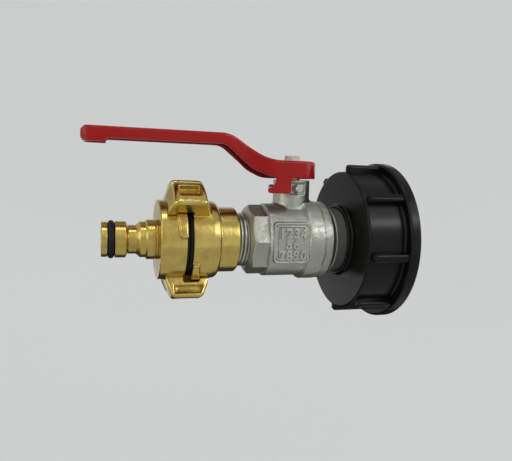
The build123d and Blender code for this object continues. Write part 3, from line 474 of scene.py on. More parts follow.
@dataclass(frozen=True)
class MouldedFinish:
    """Moulded plastic or rubber: one colour, a fine skin, and light scuffs."""

    name: str
    colour: Colour
    scuff: Colour
    roughness: float = 0.42
    shine: float = 0.3
    skin_depth: float = 0.00004
    edge_radius: float = 0.0004
    cloud_scale: float = 60.0
    scuff_scale: float = 420.0
    scuff_stretch: Sequence[float] = (1.0, 0.35, 1.0)
    scuff_start: float = 0.62
    skin_scale: float = 2400.0

    def build(self) -> Material:
        """Makes the material.

        Returns:
            The material.
        """
        canvas = Canvas(self.name)
        cloud = canvas.noise(self.cloud_scale, 4.0)
        scratched = canvas.noise(self.scuff_scale, 6.0, self.scuff_stretch)
        scuffs = (scratched - self.scuff_start).clamped() * 3.0
        colour = canvas.mix((scuffs * 0.5 + cloud * 0.25).clamped(), self.colour, self.scuff)
        rough = self.roughness + cloud * 0.12 + scuffs * 0.1
        skin = canvas.noise(self.skin_scale, 3.0)
        normal = canvas.bump(skin, self.skin_depth, canvas.soft_edges(self.edge_radius))
        return canvas.finish(colour, rough, normal, shine=self.shine)


@dataclass(frozen=True)
class PlainMetalFinish:
    """A small bright metal piece, with fine scratches."""

    name: str
    colour: Colour
    shade: Colour
    roughness: float = 0.28
    edge_radius: float = 0.0002
    cloud_scale: float = 240.0
    scratch_scale: float = 900.0
    scratch_stretch: Sequence[float] = (1.0, 6.0, 1.0)
    scratch_depth: float = 0.00001

    def build(self) -> Material:
        """Makes the material.

        Returns:
            The material.
        """
        canvas = Canvas(self.name)
        cloud = canvas.noise(self.cloud_scale, 4.0)
        scratches = canvas.noise(self.scratch_scale, 3.0, self.scratch_stretch)
        colour = canvas.mix(cloud, self.colour, self.shade)
        rough = self.roughness + scratches * 0.15
        normal = canvas.bump(scratches, self.scratch_depth, canvas.soft_edges(self.edge_radius))
        return canvas.finish(colour, rough, normal, metallic=1.0)


def built(finish: Finish) -> Material:
    """A dataclass field that holds a finish's material."""
    return field(default_factory=finish.build)


@dataclass(frozen=True)
class Finishes:
    """Every finish of the object, built once."""

    forged_brass: Material = built(BrassFinish())
    turned_brass: Material = built(
        BrassFinish("turned_brass", roughness=0.16, ring_depth=0.00003, dent_depth=0.00001)
    )
    nickel: Material = built(NickelFinish())
    nickel_thread: Material = built(
        NickelFinish("threaded_nickel", bright=(178, 180, 172), roughness=0.24, grain_depth=0.00001)
    )
    red_coat: Material = built(CoatFinish())
    nut_plastic: Material = built(
        MouldedFinish("black_nut_plastic", (12, 12, 11), (29, 29, 27), roughness=0.15, shine=0.24)
    )
    # Painted light: a lighter copy of the nut's black plastic, so that the insert's neck, which sits in
    # shade, looks lit.
    painted_light_insert_plastic: Material = built(MouldedFinish("painted_light_black_plastic", (80, 84, 79), (96, 99, 93)))
    rubber: Material = built(MouldedFinish("black_rubber", (17, 17, 21), (38, 38, 40), roughness=0.5))
    ptfe: Material = built(MouldedFinish("white_ptfe", (222, 222, 216), (200, 200, 192), roughness=0.5))
    zinc: Material = built(PlainMetalFinish("zinc_plate", (226, 226, 216), (178, 178, 168)))
    chrome: Material = built(
        PlainMetalFinish("hard_chrome", (214, 216, 220), (190, 192, 196), roughness=0.1)
    )


def add_object(name: str, data: bpy.types.ID) -> Piece:
    """Puts a mesh, a text, a lamp or a camera into the scene as an object.

    Args:
        name: The object's name.
        data: What it shows.

    Returns:
        The object.
    """
    made = bpy.data.objects.new(name, data)
    bpy.context.scene.collection.objects.link(made)
    return made


def add_built(name: str, work: bmesh.types.BMesh) -> Piece:
    """Puts a mesh under construction into the scene as an object.

    Args:
        name: The object's name.
        work: The mesh under construction, which is freed.

    Returns:
        The object.
    """
    mesh = bpy.data.meshes.new(name)
    work.to_mesh(mesh)
    work.free()
    return add_object(name, mesh)


def settle(made: Piece) -> None:
    """Turns an object's modifiers into its plain mesh.

    Args:
        made: The object.
    """
    bpy.context.view_layer.update()
    graph = bpy.context.evaluated_depsgraph_get()
    mesh = bpy.data.meshes.new_from_object(made.evaluated_get(graph))
    made.modifiers.clear()
    made.data = mesh


def weigh_normals(made: Piece) -> None:
    """Shades an object smooth, with its large faces kept flat up to their rounded edges.

    Args:
        made: The object.
    """
    made.data.shade_smooth()
    weighted = made.modifiers.new("weighted", "WEIGHTED_NORMAL")
    weighted.mode = "FACE_AREA"
    weighted.weight = 100
    weighted.keep_sharp = True
    settle(made)


def rounded_outline(points: Sequence[Point], radius: float) -> list[Point]:
    """Rounds the corners of a closed outline.

    Args:
        points: The outline's corners in order.
        radius: The rounding's radius, made smaller where an edge is short.

    Returns:
        The rounded outline.
    """
    result: list[Point] = []
    count = len(points)
    for index in range(count):
        corner = Vector(points[index])
        before = Vector(points[index - 1]) - corner
        after = Vector(points[(index + 1) % count]) - corner
        turn = math.pi - before.angle(after)
        if turn < STRAIGHT_TURN:
            result.append(tuple(corner))
            continue
        longest = ROUND_SHARE * min(before.length, after.length)
        reach = min(radius * math.tan(turn / 2), longest)
        start = corner + before.normalized() * reach
        end = corner + after.normalized() * reach
        for step in range(ROUND_STEPS + 1):
            share = step / ROUND_STEPS
            curve = start * (1 - share) ** 2 + corner * 2 * share * (1 - share) + end * share**2
            result.append(tuple(curve))
    return result


def revolve(row_at: Callable[[float], Sequence[Vector]], segments: int, closed: bool) -> bmesh.types.BMesh:
    """Joins rows of points that stand round an axis.

    Args:
        row_at: Gives the points of the row at an angle.
        segments: The number of rows.
        closed: Whether a row's last point joins its first.

    Returns:
        The mesh under construction.
    """
    work = bmesh.new()
    rows = []
    for number in range(segments):
        rows.append([work.verts.new(spot) for spot in row_at(2 * math.pi * number / segments)])
    for number, row in enumerate(rows):
        following = rows[(number + 1) % segments]
        for place in range(len(row) if closed else len(row) - 1):
            after = (place + 1) % len(row)
            work.faces.new((row[place], row[after], following[after], following[place]))
    bmesh.ops.remove_doubles(work, verts=work.verts, dist=MERGE_DISTANCE)
    return work


class Band(NamedTuple):
    """A stretch of a turned piece's surface, and the radius at its end where it is a cone."""

    start: float
    end: float
    radius: float
    end_radius: Optional[float] = None


def banded(bore_r: float, *bands: Band) -> list[Point]:
    """The outline of a turned piece with a bore.

    Args:
        bore_r: The bore's radius, from the last band's end back to the first one's start.
        bands: The surface, stretch by stretch.

    Returns:
        The outline's corners.
    """
    outline = [(bands[0].start, bore_r)]
    for band in bands:
        end_radius = band.radius if band.end_radius is None else band.end_radius
        outline += [(band.start, band.radius), (band.end, end_radius)]
    return [*outline, (bands[-1].end, bore_r)]


@dataclass(frozen=True)
class Turned:
    """A piece turned about the water way, from its closed outline of (x, radius) corners."""

    outline: Sequence[Point]
    rounding: float

    def build(self, name: str) -> Piece:
        """Makes the piece.

        Args:
            name: Its name.

        Returns:
            The object.
        """
        outline = rounded_outline(self.outline, self.rounding)

        def row_at(angle: float) -> list[Vector]:
            """The outline, turned by an angle."""
            turned = [(x, radius * math.cos(angle), radius * math.sin(angle)) for x, radius in outline]
            return [Vector(spot) * MM for spot in turned]

        work = revolve(row_at, LATHE_SEGMENTS, True)
        bmesh.ops.recalc_face_normals(work, faces=work.faces)
        made = add_built(name, work)
        weigh_normals(made)
        return made


class GeometryTree(NodeTree):
    """A Geometry Nodes tree under construction, with named inputs for its sizes."""

    def __init__(self, name: str) -> None:
        """Starts a tree that takes and gives a geometry.

        Args:
            name: The tree's name.
        """
        super().__init__(bpy.data.node_groups.new(name, "GeometryNodeTree"))
        for side in ("INPUT", "OUTPUT"):
            self.tree.interface.new_socket("Geometry", in_out=side, socket_type="NodeSocketGeometry")
        self.entry = self.node("NodeGroupInput")
        self.identifiers: dict[str, str] = {}

    def size(self, name: str, kind: str = "NodeSocketFloat") -> Wire:
        """Adds a named input.

        Args:
            name: Its name.
            kind: Its socket's type.

        Returns:
            Its wire inside the tree.
        """
        made = self.tree.interface.new_socket(name, in_out="INPUT", socket_type=kind)
        self.identifiers[name] = made.identifier
        return self.out(self.entry, name)

    def close(self, result: Wire, material: Material) -> None:
        """Ends the tree with real geometry and its material.

        Args:
            result: The geometry.
            material: The material of all of it.
        """
        real = self.wire("GeometryNodeRealizeInstances", {"Geometry": result})
        painted = self.wire("GeometryNodeSetMaterial", {"Geometry": real, "Material": material})
        self.node("NodeGroupOutput", {0: painted})

    def run(self, made: Piece, sizes: Mapping[str, Any]) -> None:
        """Runs the tree on an object and keeps its result as the plain mesh.

        Args:
            made: The object.
            sizes: The named inputs' values.
        """
        modifier = made.modifiers.new(self.tree.name, "NODES")
        modifier.node_group = self.tree
        for name, value in sizes.items():
            modifier[self.identifiers[name]] = value
        settle(made)


@dataclass(frozen=True)
class RingOfCopies:
    """Copies of one small piece at even angles about the water way."""

    count: int
    first_deg: float

    def build(self, made: Piece, material: Material) -> None:
        """Replaces a piece by a ring of its copies.

        Args:
            made: The piece, at angle zero.
            material: The copies' material.
        """
        tree = GeometryTree(made.name + "_ring")
        count = tree.size("Count", "NodeSocketInt")
        first = tree.size("First Angle")
        spots = tree.wire("GeometryNodePoints", {"Count": count})
        angle = tree.wire("GeometryNodeInputIndex") * (2 * math.pi / count) + first
        turn = tree.wire("ShaderNodeCombineXYZ", {"X": angle})
        inputs = {"Points": spots, "Instance": tree.out(tree.entry), "Rotation": turn}
        tree.close(tree.wire("GeometryNodeInstanceOnPoints", inputs), material)
        tree.run(made, {"Count": self.count, "First Angle": math.radians(self.first_deg)})


@dataclass(frozen=True)
class ScrewThread:
    """A screw thread's ridge about the water way, run out at both ends."""

    root_radius: float
    depth: float
    pitch: float
    length: float
    start_x: float
    foot: float
    crest: float
    runout: float = 0.08
    sink: float = 0.35
    steps_per_turn: int = 96

    def build(self, name: str, material: Material) -> Piece:
        """Makes the ridge by sweeping its section along a helix.

        Args:
            name: The piece's name.
            material: Its material.

        Returns:
            The object.
        """
        section = bpy.data.meshes.new(name + "_section")
        sink = math.copysign(self.sink, -self.depth)
        half_foot, half_crest = self.foot / 2, self.crest / 2
        profile = [(sink, -half_foot), (self.depth, -half_crest), (self.depth, half_crest), (sink, half_foot)]
        corners = [(out * MM, along * MM, 0.0) for out, along in profile]
        section.from_pydata(corners, [(0, 1), (1, 2), (2, 3), (3, 0)], [])
        made = add_object(name, section)
        tree = GeometryTree(name + "_helix")
        radius, turns, height, runout = (
            tree.size(size) for size in ("Root Radius", "Turns", "Height", "Runout")
        )
        ends = {"Start Radius": radius, "End Radius": radius}
        values = {"Resolution": self.steps_per_turn, "Rotations": turns, "Height": height, **ends}
        spiral = tree.wire("GeometryNodeCurveSpiral", values)
        along = tree.wire("GeometryNodeSplineParameter")
        near_end = tree.maths("MINIMUM", along, 1.0 - along)
        grown = tree.maths("MINIMUM", near_end / runout, 1.0)
        upright = tree.wire("GeometryNodeSetCurveNormal", {"Curve": spiral}, mode="Z_UP")
        sized = tree.wire("GeometryNodeSetCurveRadius", {"Curve": upright, "Radius": grown})
        outline = tree.wire("GeometryNodeMeshToCurve", {"Mesh": tree.out(tree.entry)})
        values = {"Curve": sized, "Profile Curve": outline, "Fill Caps": True}
        swept = tree.wire("GeometryNodeCurveToMesh", values)
        place = {"Translation": (self.start_x * MM, 0.0, 0.0), "Rotation": (0.0, math.pi / 2, 0.0)}
        tree.close(tree.wire("GeometryNodeTransform", {"Geometry": swept, **place}), material)
        sizes = {
            "Root Radius": self.root_radius * MM,
            "Turns": self.length / self.pitch,
            "Height": self.length * MM,
            "Runout": self.runout,
        }
        tree.run(made, sizes)
        weigh_normals(made)
        return made


def dress(made: Piece, material: Material) -> None:
    """Gives a piece one material."""
    made.data.materials.clear()
    made.data.materials.append(material)


def dress_nodes(material: Material, *nodes: str) -> None:
    """Gives nodes that are shown as they are one material."""
    for node in nodes:
        dress(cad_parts[node], material)


def seat(made: Piece, material: Material, body: Body, slot: Slot, *nodes: str) -> None:
    """Dresses a finished piece, and lets it ride on its body and stand for its nodes.

    Args:
        made: The piece.
        material: Its material.
        body: The body that it rides on.
        slot: The record's slot for the piece; not used.
        nodes: The nodes that it replaces.
    """
    dress(made, material)
    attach(made, body.value)
    if nodes:
        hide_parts(*nodes)
    faces = len(made.data.polygons)
    log.info("%s: %d faces, rides on %s", made.name, faces, body.value)


def pull_round(along: float, out: float) -> Point:
    """Pulls a point of a square corner, at two distances from its middle, onto a round one."""
    pull = max(along, out) / math.hypot(along, out)
    return along * pull, out * pull


@dataclass(frozen=True)
class CastCopy:
    """A copy of a node's solid with its edges melted a little, as a casting or a dip coat has them.

    shape changes the copied mesh before it is melted, and wear the fine mesh after that.
    """

    node: str
    voxel: float
    smoothing: int
    keep: float
    shape: Optional[Change] = None
    wear: Optional[Change] = None

    def build(self, name: str) -> Piece:
        """Makes the copy.

        Args:
            name: The piece's name.

        Returns:
            The object.
        """
        work = bmesh.new()
        work.from_mesh(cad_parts[self.node].data)
        bmesh.ops.remove_doubles(work, verts=work.verts, dist=MERGE_DISTANCE)
        made = add_built(name, work)
        if self.shape is not None:
            self.shape(made.data)
        remesh = made.modifiers.new("melt", "REMESH")
        remesh.mode = "VOXEL"
        remesh.voxel_size = self.voxel * MM
        smooth = made.modifiers.new("ease", "SMOOTH")
        smooth.factor = EASE
        smooth.iterations = self.smoothing
        settle(made)
        if self.wear is not None:
            self.wear(made.data)
        thin = made.modifiers.new("thin", "DECIMATE")
        thin.ratio = self.keep
        settle(made)
        made.data.shade_smooth()
        return made


@dataclass
class CapNut:
    """The ribbed cap nut, its coarse thread, the insert and the tank gasket."""

    finishes: Finishes
    hole_r: float = 15.65
    rim: Band = Band(-25.6, -23.4, 17.15)
    grip: Band = Band(-23.4, -5.2, 33.4)
    flange: Band = Band(-5.2, 0.0, 38.0)
    mouth: Band = Band(0.0, -13.25, 30.3)
    relief: Band = Band(-13.25, -18.9, 28.8)
    ribs: RingOfCopies = RingOfCopies(8, first_deg=98.0)
    rib_outer_r: float = 37.0
    rib_w: float = 4.2
    rib_setback: float = 1.3
    rib_overlap: float = 1.0
    rib_root_depth: float = 2.0
    rib_round: float = 1.4
    rib_round_steps: int = 5
    socket_r: float = 13.26
    neck: Band = Band(-30.0, -18.75, 15.3)
    insert_flange: Band = Band(-18.75, -15.95, 27.6)
    insert_mouth: Band = Band(-15.95, -18.0, 10.8, 9.3)
    thread: ScrewThread = ScrewThread(
        root_radius=30.3, depth=-2.1, pitch=6.0, length=8.7, start_x=-11.35, foot=4.0, crest=1.3
    )

    def build(self) -> None:
        """Makes the nut's pieces and the insert, and dresses the rings of rubber."""
        self._shell()
        self._ribs()
        self._thread()
        self._insert()
        dress_nodes(self.finishes.rubber, "tank_gasket", "insert_washer")

    def _shell(self) -> None:
        """The nut without its ribs."""
        outline = banded(self.hole_r, self.rim, self.grip, self.flange, self.mouth, self.relief)
        made = Turned(outline, rounding=1.1).build("cap_nut_shell")
        seat(made, self.finishes.nut_plastic, Body.NUT, Slot.BLACK_PLASTIC, "union_nut")

    def _insert(self) -> None:
        """The insert: its neck, its flange behind the nut's face, and its mouth."""
        outline = banded(self.socket_r, self.neck, self.insert_flange, self.insert_mouth)
        made = Turned(outline, rounding=0.45).build("insert_neck")
        # The insert takes the lighter, painted-light copy of the black plastic.
        seat(made, self.finishes.painted_light_insert_plastic, Body.VALVE, Slot.BLACK_PLASTIC, "tank_insert")

    def _ribs(self) -> None:
        """The grip ribs, as a ring of copies of one bevelled bar."""
        low_x = self.grip.start + self.rib_setback
        high_x = self.grip.end + self.rib_overlap
        root = self.grip.radius - self.rib_root_depth
        work = bmesh.new()
        bmesh.ops.create_cube(work, size=1.0)
        size = Vector((high_x - low_x, self.rib_outer_r - root, self.rib_w)) * MM
        middle = Vector(((low_x + high_x) / 2, (root + self.rib_outer_r) / 2, 0.0)) * MM
        bmesh.ops.scale(work, vec=size, verts=work.verts)
        bmesh.ops.translate(work, vec=middle, verts=work.verts)
        made = add_built("grip_ribs", work)
        bevel = made.modifiers.new("round", "BEVEL")
        bevel.width = self.rib_round * MM
        bevel.segments = self.rib_round_steps
        settle(made)
        plastic = self.finishes.nut_plastic
        self.ribs.build(made, plastic)
        weigh_normals(made)
        seat(made, plastic, Body.NUT, Slot.BLACK_PLASTIC)

    def _thread(self) -> None:
        """The coarse female thread behind the nut's mouth."""
        made = self.thread.build("cap_nut_thread", self.finishes.nut_plastic)
        seat(made, self.finishes.nut_plastic, Body.NUT, Slot.BLACK_PLASTIC)


@dataclass
class BallValve:
    """The valve: cast body with its thread and raised panel, end cap, pins and inner pieces."""

    finishes: Finishes
    thread: ScrewThread = ScrewThread(
        root_radius=12.06,
        depth=1.16,
        pitch=1.814,
        length=8.0,
        start_x=-79.4,
        foot=1.75,
        crest=0.3,
        runout=0.04,
    )
    relief_x: float = -72.7
    panel_x: float = -53.2
    panel_y: float = -17.1
    panel_z: float = -1.0
    numeral_height: float = 4.35
    numeral_bold: float = 0.1
    numeral_raise: float = 0.75
    numeral_round: float = 0.16
    numeral_spacing: float = 1.12
    font_share: float = 1.4
    numeral_rows: Sequence[str] = ("1234", "56", "7890")
    row_pitch: float = 5.0
    drum_r: float = 17.9
    drum_end_x: float = -31.2
    end_round: float = 2.8
    mould_line_x: float = -37.9
    mould_line_w: float = 0.8
    mould_step: float = 0.25
    seat_r: float = 12.4
    cavity: Band = Band(-38.55, -30.95, 14.9)
    cap: Band = Band(-30.95, -30.0, 15.9)
    spigot: Band = Band(-30.0, -20.0, 13.22)
    water_way: Band = Band(-20.0, -35.85, 8.5)

    def build(self) -> None:
        """Makes the body, its thread, numerals and end cap, and dresses the rest."""
        self._body()
        self._thread()
        self._numerals()
        self._end_cap()
        dress_nodes(self.finishes.zinc, "stop_pin_front", "stop_pin_rear")
        dress_nodes(
            self.finishes.ptfe, "seat_hose_side", "seat_tank_side", "packing_ring", "thrust_washer"
        )
        dress_nodes(self.finishes.chrome, "ball")
        dress_nodes(self.finishes.turned_brass, "stem", "gland_nut")
        dress_nodes(self.finishes.rubber, "collar_gasket")

    def _cut_to_root(self, mesh: Mesh) -> None:
        """Takes the plain spigot down to the thread's root.

        Args:
            mesh: The copied body.
        """
        root = self.thread.root_radius
        for vertex in mesh.vertices:
            radius = math.hypot(vertex.co.y, vertex.co.z)
            if vertex.co.x < self.relief_x * MM and radius > (root + ROOT_PLAY) * MM:
                share = root * MM / radius
                vertex.co.y *= share
                vertex.co.z *= share

    def _numerals(self) -> None:
        """Plain raised numerals on the panel, three rows of them in one piece."""
        work = bmesh.new()
        for number, words in enumerate(self.numeral_rows):
            curve = bpy.data.curves.new(f"numerals_{number}", "FONT")
            curve.body = words
            curve.align_x = "CENTER"
            curve.align_y = "CENTER"
            curve.size = self.numeral_height * self.font_share * MM
            curve.extrude = self.numeral_raise * MM
            curve.bevel_depth = self.numeral_round * MM
            curve.bevel_resolution = 2
            curve.offset = self.numeral_bold * MM
            curve.space_character = self.numeral_spacing
            text = add_object(curve.name, curve)
            bpy.context.view_layer.update()
            mesh = bpy.data.meshes.new_from_object(text)
            bpy.data.objects.remove(text)
            height = self.panel_z + (1 - number) * self.row_pitch
            spot = Matrix.Translation(Vector((self.panel_x, self.panel_y, height)) * MM)
            mesh.transform(spot @ Matrix.Rotation(math.pi / 2, 4, "X"))
            work.from_mesh(mesh)
        bmesh.ops.remove_doubles(work, verts=work.verts, dist=MERGE_DISTANCE)
        bmesh.ops.recalc_face_normals(work, faces=work.faces)
        made = add_built("panel_numerals", work)
        weigh_normals(made)
        seat(made, self.finishes.nickel, Body.VALVE, Slot.NICKEL)

    def _round_the_end(self, mesh: Mesh) -> None:
        """Rounds the body's tank end, and sets it in a little behind a mould line.

        Args:
            mesh: The melted body.
        """
        start = self.drum_end_x - self.end_round
        low = self.drum_r - self.mould_step - self.end_round
        for vertex in mesh.vertices:
            x = vertex.co.x / MM
            radius = math.hypot(vertex.co.y, vertex.co.z) / MM
            if x < self.mould_line_x or radius < low:
                continue
            share = min((x - self.mould_line_x) / self.mould_line_w, 1.0)
            target = radius - self.mould_step * share * min((radius - low) / self.end_round, 1.0)
            along, out = x - start, target - low
            if along > 0.0 and out > 0.0:
                along, out = pull_round(along, out)
                vertex.co.x = (start + along) * MM
                target = low + out
            vertex.co.y *= target / radius
            vertex.co.z *= target / radius

    def _body(self) -> None:
        """The cast body."""
        casting = CastCopy(
            "valve_body", voxel=0.25, smoothing=2, keep=0.4, shape=self._cut_to_root, wear=self._round_the_end
        )
        made = casting.build("valve_casting")
        seat(made, self.finishes.nickel, Body.VALVE, Slot.NICKEL, "valve_body")

    def _end_cap(self) -> None:
        """The screwed-in end: the ball's seat, a cap against the body, and the tank side's spigot."""
        outline = banded(self.seat_r, self.cavity, self.cap, self.spigot, self.water_way)
        made = Turned(outline, rounding=0.35).build("screwed_end")
        seat(made, self.finishes.nickel, Body.VALVE, Slot.NICKEL, "end_cap")

    def _thread(self) -> None:
        """The male pipe thread, from inside the collar to the octagon."""
        made = self.thread.build("valve_thread", self.finishes.nickel_thread)
        seat(made, self.finishes.nickel_thread, Body.VALVE, Slot.NICKEL)


@dataclass
class LeverSet:
    """The dip-coated lever, and its screw."""

    finishes: Finishes
    tip_x: float = -144.75
    tip_low: float = 42.0
    tip_high: float = 48.5
    tip_round: float = 2.2

    def _round_tip(self, mesh: Mesh) -> None:
        """Rounds the two corners of the lever's tip, as seen from the side.

        Args:
            mesh: The melted lever.
        """
        start = self.tip_x + self.tip_round
        middle = (self.tip_low + self.tip_high) / 2
        reach = (self.tip_high - self.tip_low) / 2 - self.tip_round
        for vertex in mesh.vertices:
            along = start - vertex.co.x / MM
            height = vertex.co.z / MM - middle
            out = abs(height) - reach
            if along > 0.0 and out > 0.0:
                along, out = pull_round(along, out)
                vertex.co.x = (start - along) * MM
                vertex.co.z = (middle + math.copysign(reach + out, height)) * MM

    def build(self) -> None:
        """Makes the lever and dresses the screw."""
        casting = CastCopy("lever", voxel=0.3, smoothing=14, keep=0.5, wear=self._round_tip)
        made = casting.build("coated_lever")
        seat(made, self.finishes.red_coat, Body.LEVER, Slot.RED, "lever")
        dress_nodes(self.finishes.zinc, "lever_screw")


@dataclass
class ClawCoupling:
    """The two brass halves of the claw coupling, and their seals."""

    finishes: Finishes
    side_degs: Sequence[float] = (64.0, 244.0)
    side_play: float = 0.6
    hollow_back_x: float = -105.2
    hollow_front_x: float = -91.6
    hollow_slant: float = 0.42
    hollow_low_r: float = 21.4
    hollow_high_r: float = 25.4
    hollow_depth: float = 1.5
    hollow_edge: float = 0.6

    def _hollow_sides(self, mesh: Mesh) -> None:
        """Sinks the start side of each claw of the plug's half, and leaves a rim round it.

        Args:
            mesh: The melted half.
        """
        for vertex in mesh.vertices:
            x, y, z = (part / MM for part in vertex.co)
            radius = math.hypot(y, z)
            front = self.hollow_front_x - (radius - self.hollow_low_r) * self.hollow_slant
            across = min(radius - self.hollow_low_r, self.hollow_high_r - radius)
            inside = min(x - self.hollow_back_x, front - x, across)
            if inside <= 0.0:
                continue
            share = min(inside / self.hollow_edge, 1.0)
            for degrees in self.side_degs:
                turn = math.radians(degrees)
                past = math.cos(turn) * z - math.sin(turn) * y
                ahead = math.cos(turn) * y + math.sin(turn) * z
                if abs(past) < self.side_play and ahead > 0.0:
                    sink = self.hollow_depth * share * MM
                    vertex.co.y -= math.sin(turn) * sink
                    vertex.co.z += math.cos(turn) * sink

    def build(self) -> None:
        """Makes both halves and dresses the seals."""
        for node, body in (("claw_half_threaded", Body.VALVE), ("claw_half_plug", Body.PLUG)):
            wear = self._hollow_sides if body is Body.PLUG else None
            made = CastCopy(node, voxel=0.3, smoothing=3, keep=0.45, wear=wear).build("forged_" + node)
            seat(made, self.finishes.forged_brass, body, Slot.BRASS, node)
        dress_nodes(self.finishes.rubber, "claw_seal_threaded", "claw_seal_plug")


@dataclass
class QuickPlug:
    """The turned quick-connect plug and its O-ring."""

    finishes: Finishes
    bore_r: float = 4.3
    nose: Band = Band(-136.0, -133.4, 7.7)
    groove: Band = Band(-133.4, -130.26, 5.5)
    land: Band = Band(-130.26, -125.7, 8.05)
    waist: Band = Band(-124.6, -121.2, 6.4)
    second_land: Band = Band(-119.5, -117.2, 8.0)
    third_land: Band = Band(-116.5, -113.2, 8.9)
    fine_groove: Band = Band(-113.2, -112.85, 8.4)
    last_land: Band = Band(-112.85, -112.0, 8.9)
    tail: Band = Band(-112.0, -105.8, 8.0)
    ring_r: float = 1.45
    ring_outer_r: float = 8.4

    def build(self) -> None:
        """Makes the plug and its ring."""
        tip = (self.nose, self.groove, self.land, self.waist, self.second_land)
        outline = banded(self.bore_r, *tip, self.third_land, self.fine_groove, self.last_land, self.tail)
        made = Turned(outline, rounding=0.3).build("turned_plug")
        seat(made, self.finishes.turned_brass, Body.PLUG, Slot.BRASS, "plug_nipple")
        self._ring()

    def _ring(self) -> None:
        """The O-ring in its groove."""
        middle_x = (self.groove.start + self.groove.end) / 2
        middle_r = self.ring_outer_r - self.ring_r
        angles = [2 * math.pi * step / RING_STEPS for step in range(RING_STEPS)]
        outline = [
            (middle_x + self.ring_r * math.cos(angle), middle_r + self.ring_r * math.sin(angle))
            for angle in angles
        ]
        made = Turned(outline, rounding=0.0).build("plug_ring")
        seat(made, self.finishes.rubber, Body.PLUG, Slot.RUBBER, "plug_o_ring")


@dataclass(frozen=True)
class Softbox:
    """One rectangular lamp that looks at the object."""

    name: str
    place: Sequence[float]
    width: float
    height: float
    glow: float
    mirrored: bool = True

    def build(self) -> None:
        """Adds the lamp; its power follows from its glow and its area."""
        lamp = bpy.data.lights.new(self.name, "AREA")
        lamp.shape = "RECTANGLE"
        lamp.size = self.width
        lamp.size_y = self.height
        lamp.energy = self.glow * math.pi * self.width * self.height
        made = add_object(self.name, lamp)
        made.location = self.place
        aim = Vector(OBJECT_MIDDLE) - Vector(self.place)
        made.rotation_euler = aim.to_track_quat("-Z", "Y").to_euler()
        made.visible_glossy = self.mirrored
        made.visible_camera = False


@dataclass(frozen=True)
class Card:
    """A card that only shiny surfaces show, as they show the dim and bright parts of a room."""

    name: str
    place: Sequence[float]
    width: float
    height: float
    tone: float
    lying: bool = False
    cover: float = 0.9

    def build(self) -> None:
        """Adds the card without a shadow, lying or turned to the object."""
        canvas = Canvas(self.name)
        clear = canvas.wire("ShaderNodeBsdfTransparent")
        share = canvas.out(canvas.node("ShaderNodeLightPath"), "Is Glossy Ray") * self.cover
        material = canvas.finish_tone(clear, (self.tone, self.tone, self.tone, 1.0), share)
        work = bmesh.new()
        bmesh.ops.create_grid(work, x_segments=1, y_segments=1, size=0.5)
        aim = Vector((0.0, 0.0, 1.0)) if self.lying else Vector(OBJECT_MIDDLE) - Vector(self.place)
        turn = aim.to_track_quat("Z", "Y").to_matrix().to_4x4()
        scale = Matrix.Diagonal((self.width, self.height, 1.0, 1.0))
        bmesh.ops.transform(work, matrix=Matrix.Translation(self.place) @ turn @ scale, verts=work.verts)
        made = add_built(self.name, work)
        dress(made, material)
        made.visible_shadow = False


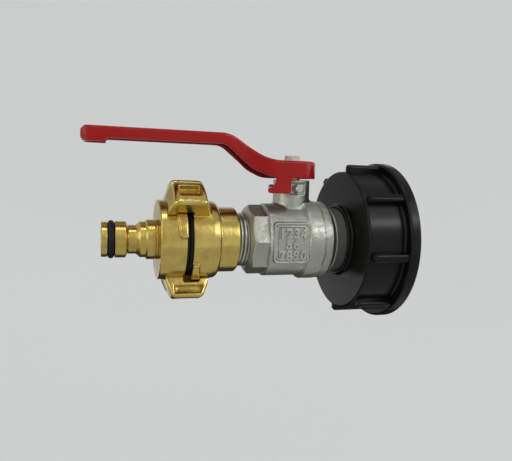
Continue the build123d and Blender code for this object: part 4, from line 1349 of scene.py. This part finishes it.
@dataclass
class Studio:
    """The pale floor, the light and the camera."""

    camera_place: Sequence[float] = (-0.1412, -0.2479, 0.025)
    yaw_deg: float = 17.0
    pitch_deg: float = -4.6
    roll_deg: float = 1.68
    focal_pixels: float = 550.0
    picture_width: float = 512.0
    sensor: float = 36.0
    floor_z: float = -0.16
    floor_flat: float = 0.8
    floor_curve: float = 0.7
    wall_top: float = 0.95
    curve_steps: int = 24
    floor_segments: int = 96
    pale: Colour = (212, 214, 213)
    pale_shade: Colour = (204, 206, 205)
    shown_share: float = 0.85
    world_glow: float = 0.4
    softboxes: Sequence[Softbox] = (
        Softbox("key", (0.2, -0.9, 0.62), 1.4, 0.8, 1.75, False),
        Softbox("left", (-0.95, -0.25, 0.3), 0.6, 0.5, 1.2),
        Softbox("right", (0.95, -0.35, 0.35), 0.6, 0.6, 1.2),
        Softbox("above", (-0.1, -0.3, 1.1), 0.35, 0.16, 5.0),
        Softbox("back", (-0.05, 0.95, 0.5), 1.1, 0.6, 0.9, False),
    )
    cards: Sequence[Card] = (
        Card("front_card", (-0.33, -0.7, 0.1), 0.6, 0.6, 0.36),
        Card("glow_card", (0.58, -0.75, 0.6), 0.92, 0.62, 1.7),
        Card("high_front_card", (-0.35, -0.6, 0.8), 0.7, 0.4, 0.95),
        Card("window_card", (0.4, -0.66, 0.42), 0.24, 0.08, 10.0),
        Card("front_floor_card", (-0.1, -0.235, -0.155), 0.9, 0.55, 0.4, True),
        # Painted shadow: a near-black card on the floor under and behind the object, standing in for its
        # shadow in reflections.
        Card("painted_shadow_card", (-0.07, 0.2, -0.154), 0.7, 0.32, 0.03, True, 1.0),
        Card("left_back_card", (-0.48, 0.75, 0.0), 0.52, 0.6, 0.3),
        Card("back_top_card", (-0.05, 0.8, 0.9), 1.6, 0.5, 0.12),
    )

    def build(self) -> None:
        """Makes the studio."""
        self._floor()
        self._world()
        for softbox in self.softboxes:
            softbox.build()
        for card in self.cards:
            card.build()
        self._camera()
        bpy.context.scene.view_settings.view_transform = "Standard"

    def _floor(self) -> None:
        """A round pale floor that curves up into a wall on every side."""
        outline: list[Point] = [(0.0, self.floor_z), (self.floor_flat, self.floor_z)]
        for step in range(1, self.curve_steps + 1):
            angle = math.pi / 2 * step / self.curve_steps
            radius = self.floor_flat + self.floor_curve * math.sin(angle)
            outline.append((radius, self.floor_z + self.floor_curve * (1 - math.cos(angle))))
        outline.append((self.floor_flat + self.floor_curve, self.wall_top))

        def row_at(turn: float) -> list[Vector]:
            """The outline, turned by an angle."""
            return [Vector((r * math.cos(turn), r * math.sin(turn), z)) for r, z in outline]

        floor = add_built("studio_floor", revolve(row_at, self.floor_segments, False))
        floor.data.shade_smooth()
        dress(floor, self._floor_material())
        floor.visible_shadow = False

    def _floor_material(self) -> Material:
        """A pale matt floor that keeps the object's shadow and shows an even tone.

        Returns:
            The floor's material.
        """
        canvas = Canvas("pale_floor")
        colour = canvas.mix(canvas.noise(1.4, 2.0) * 0.5, self.pale, self.pale_shade)
        matt = canvas.wire("ShaderNodeBsdfDiffuse", {"Color": colour})
        path = canvas.node("ShaderNodeLightPath")
        camera, glossy, through = (canvas.out(path, f"Is {kind} Ray") for kind in RAYS_THAT_SEE)
        return canvas.finish_tone(matt, colour, (camera + glossy + through).clamped() * self.shown_share)

    def _world(self) -> None:
        """An even world above the walls, dimmer than they are."""
        world = bpy.data.worlds.new("studio")
        world.use_nodes = True
        background = world.node_tree.nodes["Background"]
        background.inputs["Color"].default_value = (1.0, 1.0, 1.0, 1.0)
        background.inputs["Strength"].default_value = self.world_glow
        bpy.context.scene.world = world

    def _camera(self) -> None:
        """The camera, where the photograph's stood."""
        lens = bpy.data.cameras.new("camera")
        lens.sensor_width = self.sensor
        lens.lens = self.focal_pixels / self.picture_width * self.sensor
        lens.clip_start = 0.01
        made = add_object("camera", lens)
        made.location = self.camera_place
        yaw = math.radians(self.yaw_deg)
        pitch = math.radians(self.pitch_deg)
        aim = Vector((math.cos(pitch) * math.sin(yaw), math.cos(pitch) * math.cos(yaw), math.sin(pitch)))
        level = aim.to_track_quat("-Z", "Y").to_matrix()
        made.rotation_euler = (level @ Matrix.Rotation(math.radians(self.roll_deg), 3, "Z")).to_euler()
        bpy.context.scene.camera = made


def main() -> None:
    """Builds the object's looks in order, and the studio round it."""
    logging.basicConfig(level=logging.INFO, format="%(name)s: %(message)s")
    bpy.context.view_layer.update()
    finishes = Finishes()
    CapNut(finishes).build()
    BallValve(finishes).build()
    LeverSet(finishes).build()
    ClawCoupling(finishes).build()
    QuickPlug(finishes).build()
    Studio().build()
    log.info("sizes written")


if __name__ == "__main__":
    main()
